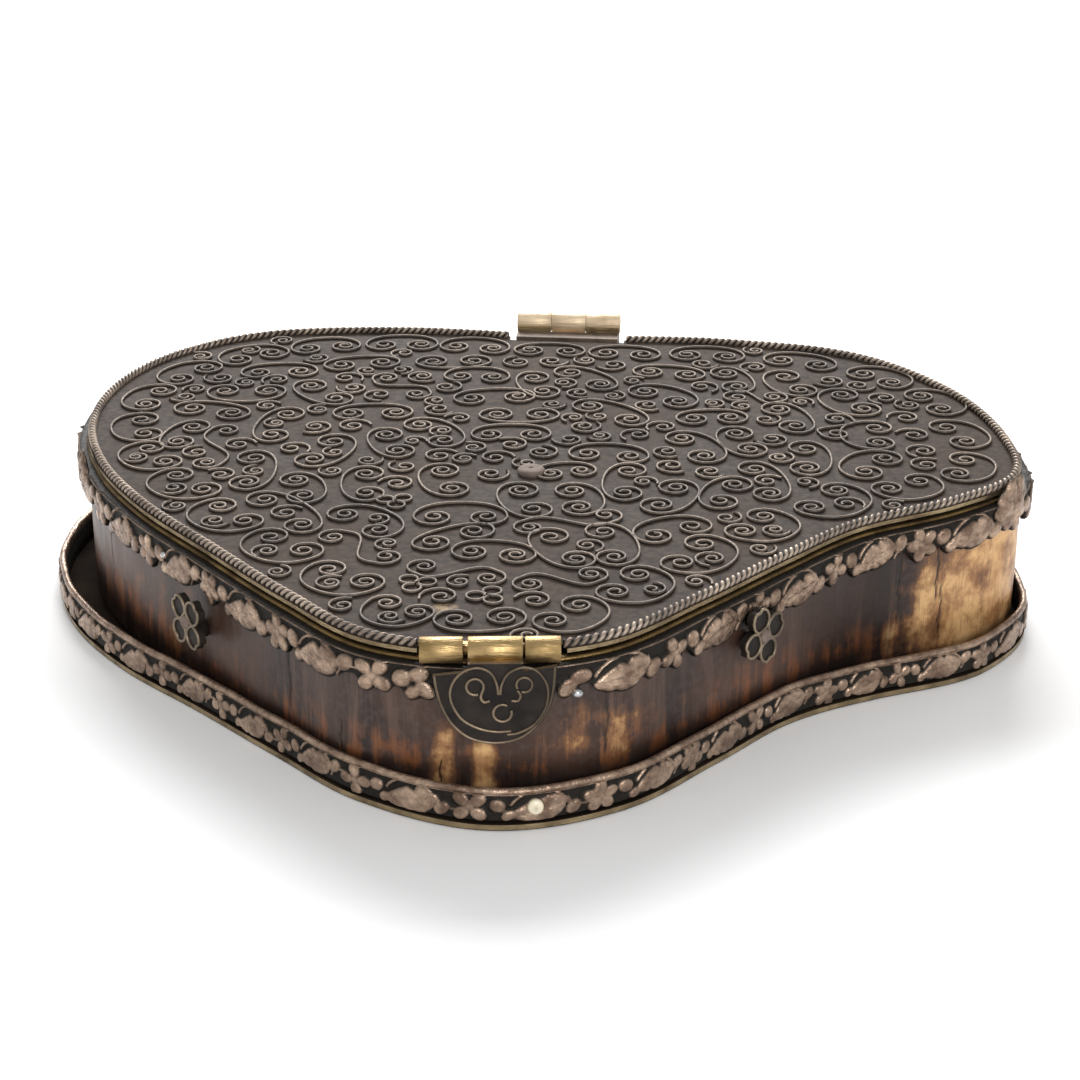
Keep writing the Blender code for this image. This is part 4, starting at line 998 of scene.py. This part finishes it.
FIELD_SCROLLS = (
    (-3.7, -20.6, 0.1, -21.0, 2.7), (2.9, -16.8, 5.4, -21.3, -2.6), (7.3, -15.3, 8.6, -20.6, 2.6),
    (12.0, -15.7, 15.2, -13.4, 3.0), (-16.0, -13.5, -12.5, -16.8, 3.3), (-23.9, -10.8, -19.5, -16.2, 2.6),
    (-7.9, -13.4, -3.3, -13.0, 3.4), (-7.3, -18.9, -4.0, -16.2, 2.0), (-0.8, -6.5, 0.8, -10.8, -2.6),
    (3.9, -6.2, 4.8, -10.0, 2.6), (-8.6, -2.4, -7.2, -6.6, -2.6), (-15.6, -3.8, -14.8, -8.4, -2.4),
    (-21.9, -5.9, -20.6, -9.6, 2.4), (-27.0, -0.8, -26.4, -6.8, 2.4), (-26.0, 11.2, -26.4, 5.4, -2.4),
    (-20.2, 4.2, -21.4, -0.6, 2.8), (-15.3, 6.4, -13.6, 2.4, -2.2), (-12.4, 9.4, -9.6, 5.4, 2.8),
    (-5.3, 7.4, -1.0, 7.8, 2.8), (4.6, 3.2, 8.8, 2.8, 3.0), (8.9, -0.8, 8.8, -6.2, -2.3),
    (13.4, -4.6, 12.0, -8.8, 2.6), (18.8, -3.4, 17.6, -7.4, -2.4), (20.6, 0.7, 22.0, -5.2, 2.4),
    (25.6, 1.4, 25.5, 6.4, -2.4), (31.1, 0.9, 33.0, 4.4, 3.2), (32.6, 8.6, 32.6, 12.6, 3.6),
    (13.6, 8.0, 15.8, 3.6, 2.8), (18.9, 9.8, 20.2, 5.8, -2.4), (24.6, 12.4, 23.0, 17.0, -2.4),
    (4.0, 16.2, 8.2, 12.8, 2.6), (9.4, 21.0, 12.8, 18.4, 3.0), (14.6, 13.6, 18.2, 14.2, 2.4),
    (23.8, 27.0, 25.4, 23.0, -2.8), (29.6, 21.8, 31.6, 18.0, -3.2), (9.6, 27.2, 13.6, 26.6, 2.4),
    (4.6, 22.8, 1.2, 26.2, -2.4), (-10.2, 24.0, -6.7, 24.0, 3.0), (-8.2, 17.4, -3.6, 18.4, 2.6),
    (-33.8, 17.4, -29.4, 17.8, -3.2), (-31.6, 23.2, -27.2, 24.0, 2.8), (-23.2, 26.4, -19.0, 27.6, 2.4),
    (-13.6, 28.4, -9.4, 29.0, -2.2), (-36.0, 12.0, -31.8, 11.0, 2.4), (-19.8, 12.0, -15.4, 12.6, 2.6),
    (-5.0, 13.0, -0.8, 13.4, -2.2), (-2.4, 24.2, -1.0, 20.2, -2.2), (17.6, 27.4, 18.8, 23.4, 2.2),
    (-25.2, 19.6, -22.0, 16.2, -2.4), (1.6, -2.2, 4.4, -1.2, 2.4), (-34.6, 6.8, -35.2, 2.8, -2.2),
)
S_SCROLLS = (
    (-7.4, -24.0, -1.6, -25.9, -1), (1.9, -26.8, 6.9, -24.3, 1), (-16.2, -18.6, -10.9, -22.3, 1),
    (-31.2, 6.2, -31.3, -2.4, -1), (18.8, 20.2, 22.6, 20.6, 1), (-17.8, 22.8, -14.0, 18.2, -1),
    (0.8, -15.0, 7.4, -11.6, 1), (28.6, 10.6, 28.8, 14.8, 1),
)


# The rivet's place on the lid, and the three-ring clusters with their turns
RIVET = (-0.3, -1.8)
BLOSSOMS = (((-7.6, -27.4), 0.3), ((-1.4, -29.3), 1.2), ((-12.0, -10.0), 0.8))


def filigree_paths():
    rng = random.Random(11)
    paths = []
    for *ends, depth in BORDER_SCROLLS + FIELD_SCROLLS:
        a, b = np.reshape(ends, (2, 2))
        size = min(rng.uniform(1.74, 1.92), np.linalg.norm(b - a) / 2 - 0.06)
        paths.append(c_scroll(a, b, size, depth, rng))
    for *ends, side in S_SCROLLS:
        paths.append(s_scroll(*np.reshape(ends, (2, 2)), S_RADIUS, side, rng))
    for spot, turn in BLOSSOMS:
        for angle in turn + np.radians([0, 120, 240]):
            paths.append(spot + polar(0.95, angle)
                         + polar(0.78, np.radians(np.linspace(0, 345, 24)) + angle + math.pi))
    return paths + small_scrolls(paths, rng)


def small_scrolls(paths, rng):
    """Single spirals in the gaps that are left, the widest gap first."""
    steps = np.arange(-43.0, 43.1, 0.6)
    spots = np.array([(x, y) for y in steps for x in steps if in_plan((x, y))])
    room = np.full(len(spots), 9.0)
    taken = [path[::2] for path in paths] + [PLAN.xy[::3], [RIVET]]
    grown = []
    while True:
        for point in np.vstack(taken):
            room = np.minimum(room, np.hypot(*(spots - point).T))
        best = int(np.argmax(room))
        if room[best] <= SMALLEST_GAP:
            return grown
        grown.append(head(spots[best], min(room[best] - 0.25, 1.85), rng.uniform(0, 6.3), rng.choice((-1, 1)),
                          rng.uniform(1.5, 1.9), 24))
        taken = [grown[-1][::2]]


def in_plan(spot):
    """True inside the outline: the turns of its edge about the point add up to a circle."""
    x, y = (PLAN.xy[::6] - spot).T
    angle = np.arctan2(y, x)
    return abs(np.sum(wrapped(np.roll(angle, -1) - angle, 2 * math.pi))) > 3


def build_filigree():
    points, quads = sweep([at_height(path, LID_TOP) for path in filigree_paths()], WIRE_SECTION)
    # "top" is 0 at the wire's foot and 1 on its top: the material paints the sides near black, partly black
    # patina and partly painted shade.
    mesh = mesh_of(lift(points), quads, {"top": np.tile([0.0, 1.0, 1.0, 0.0], len(points) // 4)})
    new_piece("lid_filigree", mesh, "lid", FILIGREE, smooth=False)


def build_rivet():
    matrix = Matrix.Translation(lift((*RIVET, LID_TOP))) @ TOP_TURN @ UPRIGHT
    profile = [(-0.02, 0.0), (-0.02, 1.28), (0.38, 1.30), (0.52, 1.18), (0.58, 0.8), (0.60, 0.3), (0.60, 0.0)]
    new_piece("rivet_head", lathe(profile, matrix, 40), "lid", TIN, "lid_rivet")


KNUCKLE_GAP = 0.03          # between the knuckles at the back
KNUCKLE_EASE = 0.02
BAR_EASE = 0.06             # on the edges of straps and strips
STRAP_THICKNESS = 0.6
STRAP_LENGTH = 6.2
# (Y, Z) of two corners, from the pin
TONGUE = ((-3.3, -1.55), (-PIN_RADIUS - 0.1, -0.86))
FRONT_STRAP = ((-3.35, -1.5), (-BARREL_RADIUS - 0.25, -0.70))


def knuckle(start, end, matrix):
    """A tube of rolled sheet, its ends eased."""
    bore = PIN_RADIUS + 0.12
    low = BARREL_RADIUS - KNUCKLE_EASE
    return lathe([(start, bore), (start, low), (start + KNUCKLE_EASE, BARREL_RADIUS),
                  (end - KNUCKLE_EASE, BARREL_RADIUS), (end, low), (end, bore)], matrix)


def bar(low, high, matrix, slot=0):
    """A bar with eased edges, in one of its piece's materials."""
    low, high = Vector(low), Vector(high)
    bm = bmesh.new()
    bmesh.ops.create_cube(bm, size=1.0, matrix=Matrix.LocRotScale((low + high) / 2, None, high - low))
    bmesh.ops.bevel(bm, geom=bm.edges[:], offset=BAR_EASE, segments=2, affect="EDGES", profile=0.5)
    bm.transform(matrix)
    for face in bm.faces:
        face.material_index = slot
    return mesh_from(bm, MM)


def pin(half, matrix):
    return lathe([(-half, 0.0), (-half, PIN_RADIUS), (half, PIN_RADIUS), (half, 0.0)], matrix, 24)


def build_hinge():
    """Two knuckles with a strap down the back, a tongue with the middle knuckle, and the pin."""
    inner = HINGE_HALF / 3
    left = (-HINGE_HALF, -inner - KNUCKLE_GAP)
    right = (inner + KNUCKLE_GAP, HINGE_HALF)
    back = -BARREL_RADIUS * 0.62
    front = back - STRAP_THICKNESS
    top = -BARREL_RADIUS - 0.8
    pieces = [knuckle(*left, HINGE_FRAME), knuckle(*right, HINGE_FRAME),
              bar((-HINGE_HALF, front, top - STRAP_LENGTH), (HINGE_HALF, back, top), HINGE_FRAME, 1)]
    for start, end in (left, right):
        pieces.append(bar((start + 0.05, front, top - 0.2), (end - 0.05, back, -0.2), HINGE_FRAME, 1))
    new_piece("hinge_strap", pieces, "box", [BEIGE_BRASS, AGED_BRASS], "hinge_box_leaf",
              smooth=False)
    half = inner - 0.05
    pieces = [knuckle(-inner, inner, HINGE_FRAME),
              bar((-half, *TONGUE[0]), (half, *TONGUE[1]), HINGE_FRAME)]
    new_piece("hinge_tongue", pieces, "lid", BEIGE_BRASS, "hinge_lid_leaf", smooth=False)
    half = HINGE_HALF - 0.1
    strap = bar((-half, *FRONT_STRAP[0]), (half, *FRONT_STRAP[1]), HINGE_FRAME)
    new_piece("hinge_front_strap", strap, "lid", STRAP_METAL, smooth=False)
    new_piece("hinge_rod", pin(HINGE_HALF, HINGE_FRAME), "box", BRASS, "hinge_pin", smooth=False)


# Where the clasp's knuckles run from and to, across it
CLASP_LEFT = (-CLASP_HALF, -CLASP_HALF + 3.4)
CLASP_RIGHT = (CLASP_HALF - 2.8, CLASP_HALF)
CLASP_MIDDLE = (CLASP_LEFT[1] + 0.4, CLASP_RIGHT[0] - 0.2)


def build_clasp():
    """A strip on the lid, webs from it, and the two outer knuckles."""
    high = -0.35
    low = high - (LID_TOP - LID_BOTTOM)
    pieces = [knuckle(*CLASP_LEFT, CLASP_FRAME), knuckle(*CLASP_RIGHT, CLASP_FRAME),
              bar((-CLASP_HALF, 1.25, low + 0.1), (CLASP_HALF, CLASP_BACK + 0.45, high), CLASP_FRAME)]
    for start, end in (CLASP_LEFT, CLASP_RIGHT):
        pieces.append(bar((start + 0.05, 0.6, low), (end - 0.05, 1.4, high), CLASP_FRAME))
    new_piece("clasp_strip", pieces, "lid", BRASS, "clasp_leaf", smooth=False)
    new_piece("clasp_rod", pin(CLASP_HALF, CLASP_FRAME), "lid", BRASS, "clasp_pin", smooth=False)


# The hasp's outline, the wires on it, and rings with their radii and the degrees they run from and to
HASP_LEAN = math.radians(4.0)
HASP_THICK = 0.5
HASP_WIRE_RADIUS = 0.12
HASP_SHAPE = ((-4.5, -0.3), (-4.35, -1.4), (-3.95, -2.9), (-3.1, -4.5), (-1.6, -5.75), (0.4, -6.15),
              (2.3, -5.75), (3.75, -4.6), (4.65, -3.1), (5.05, -1.5), (5.2, 0.45))
HASP_LOOPS = (
    ((1.6, -5.0), (0.4, -5.05), (-0.95, -4.75), (-2.3, -3.9), (-3.1, -2.35), (-3.0, -1.0), (-2.15, 0.05),
     (-0.95, 0.4), (0.05, -0.05), (0.5, -1.0), (0.62, -1.85)),
    ((1.3, -5.3), (2.2, -5.15), (3.45, -4.4), (4.35, -2.9), (4.45, -1.2), (3.65, 0.1), (2.45, 0.4),
     (1.4, -0.1), (0.9, -1.0), (0.76, -1.85)),
    ((-0.62, -1.55), (-0.75, -2.1), (-0.5, -2.5), (-0.05, -2.4)),
    ((2.1, -1.5), (2.35, -1.95), (2.15, -2.4), (1.65, -2.4)),
)
HASP_RINGS = (((-1.2, -1.2), 0.68, -30, 290), ((2.65, -1.05), 0.62, -110, 210),
              ((0.93, -3.45), 0.72, 60, 380))


def build_hasp():
    """The hanging shield with its knuckle, its wires and their rings."""
    hang = Vector((0.0, -BARREL_RADIUS - 0.4, -BARREL_RADIUS))
    stand = CLASP_FRAME @ Matrix.Translation(hang) @ Matrix.Rotation(math.pi / 2 - HASP_LEAN, 4, "X")
    left, right = CLASP_MIDDLE
    outline = [*smooth_path(HASP_SHAPE, 10), (right, 0.0), (right, 0.7), (left, 0.7), (left, 0.0)]
    sheet = slab(outline, 0.0, HASP_THICK, stand, edge_material=1)
    new_piece("hasp_sheet", sheet, "hasp", [DARK_SHEET, PALE_WIRE], "hasp", smooth=False)
    pieces = [knuckle(left, right, CLASP_FRAME),
              bar((left + 0.1, hang.y - 0.25, -0.9), (right - 0.1, -0.57, -0.42), CLASP_FRAME)]
    new_piece("hasp_knuckle", pieces, "hasp", BRASS, smooth=False)
    edge = smooth_path([(x * 0.97, y * 0.985 + 0.02) for x, y in HASP_SHAPE], 10)
    flat = [smooth_path(corners, 8) for corners in HASP_LOOPS]
    for centre, radius, start, end in HASP_RINGS:
        flat.append(centre + polar(radius, np.radians(np.linspace(start, end, 30))))
    paths = [at_height(edge, HASP_THICK - 0.02)] + [at_height(path, HASP_THICK + 0.06) for path in flat]
    wire = wires(paths, HASP_WIRE_RADIUS, stand, closed=False, sides=7)
    new_piece("hasp_wire", wire, "hasp", HASP_WIRE)


build_sheet()
build_rope("rope_right", 1, "lid_rope_right")
build_rope("rope_left", -1, "lid_rope_left")
build_filigree()
build_rivet()
build_hinge()
build_clasp()
build_hasp()


# The stage


FLOOR_GAP = 0.00005
CAMERA_LENS = 73.33
CAMERA_AT = (0.01770, -0.19675, 0.08384)
CAMERA_RIGHT = Vector((0.9960, 0.0894, 0.0047)).normalized()
CAMERA_FORWARD = Vector((-0.0818, 0.9306, -0.3566)).normalized()


def build_floor():
    bm = bmesh.new()
    bmesh.ops.create_grid(bm, x_segments=1, y_segments=1, size=3.0)
    floor = bpy.data.objects.new("floor", mesh_from(bm))
    floor.location.z = -FLOOR_GAP
    bpy.context.scene.collection.objects.link(floor)
    floor.data.materials.append(Nodes("pale_floor").finish((0.86, 0.86, 0.86), 0.7))


def add_light(name, location, target, size, power):
    data = bpy.data.lights.new(name, "AREA")
    data.shape = "RECTANGLE"
    data.size, data.size_y = size
    data.energy = power
    light = bpy.data.objects.new(name, data)
    light.location = location
    light.rotation_euler = (Vector(target) - Vector(location)).to_track_quat("-Z", "Y").to_euler()
    bpy.context.scene.collection.objects.link(light)


def build_camera():
    """The photograph's view: from the front, 21 degrees above."""
    data = bpy.data.cameras.new("camera")
    data.lens = CAMERA_LENS
    data.sensor_width = 36.0
    data.clip_start = 0.01
    camera = bpy.data.objects.new("camera", data)
    up = CAMERA_RIGHT.cross(CAMERA_FORWARD)
    camera.matrix_world = frame_of(CAMERA_RIGHT, up, -CAMERA_FORWARD, CAMERA_AT)
    bpy.context.scene.collection.objects.link(camera)
    bpy.context.scene.camera = camera


def build_world():
    world = bpy.data.worlds.new("studio")
    world.use_nodes = True
    background = world.node_tree.nodes["Background"]
    background.inputs["Color"].default_value = (1.0, 1.0, 1.0, 1.0)
    background.inputs["Strength"].default_value = 0.65
    bpy.context.scene.world = world


build_floor()
build_camera()
build_world()
add_light("back_top", (-0.08, 0.55, 0.42), (0.0, 0.0, 0.0), (0.45, 0.25), 6.5)
add_light("front", (0.20, -0.60, 0.30), (0.0, 0.0, 0.01), (0.25, 0.15), 2.2)
bpy.context.scene.view_settings.view_transform = "Standard"
bpy.context.scene.view_settings.look = "None"
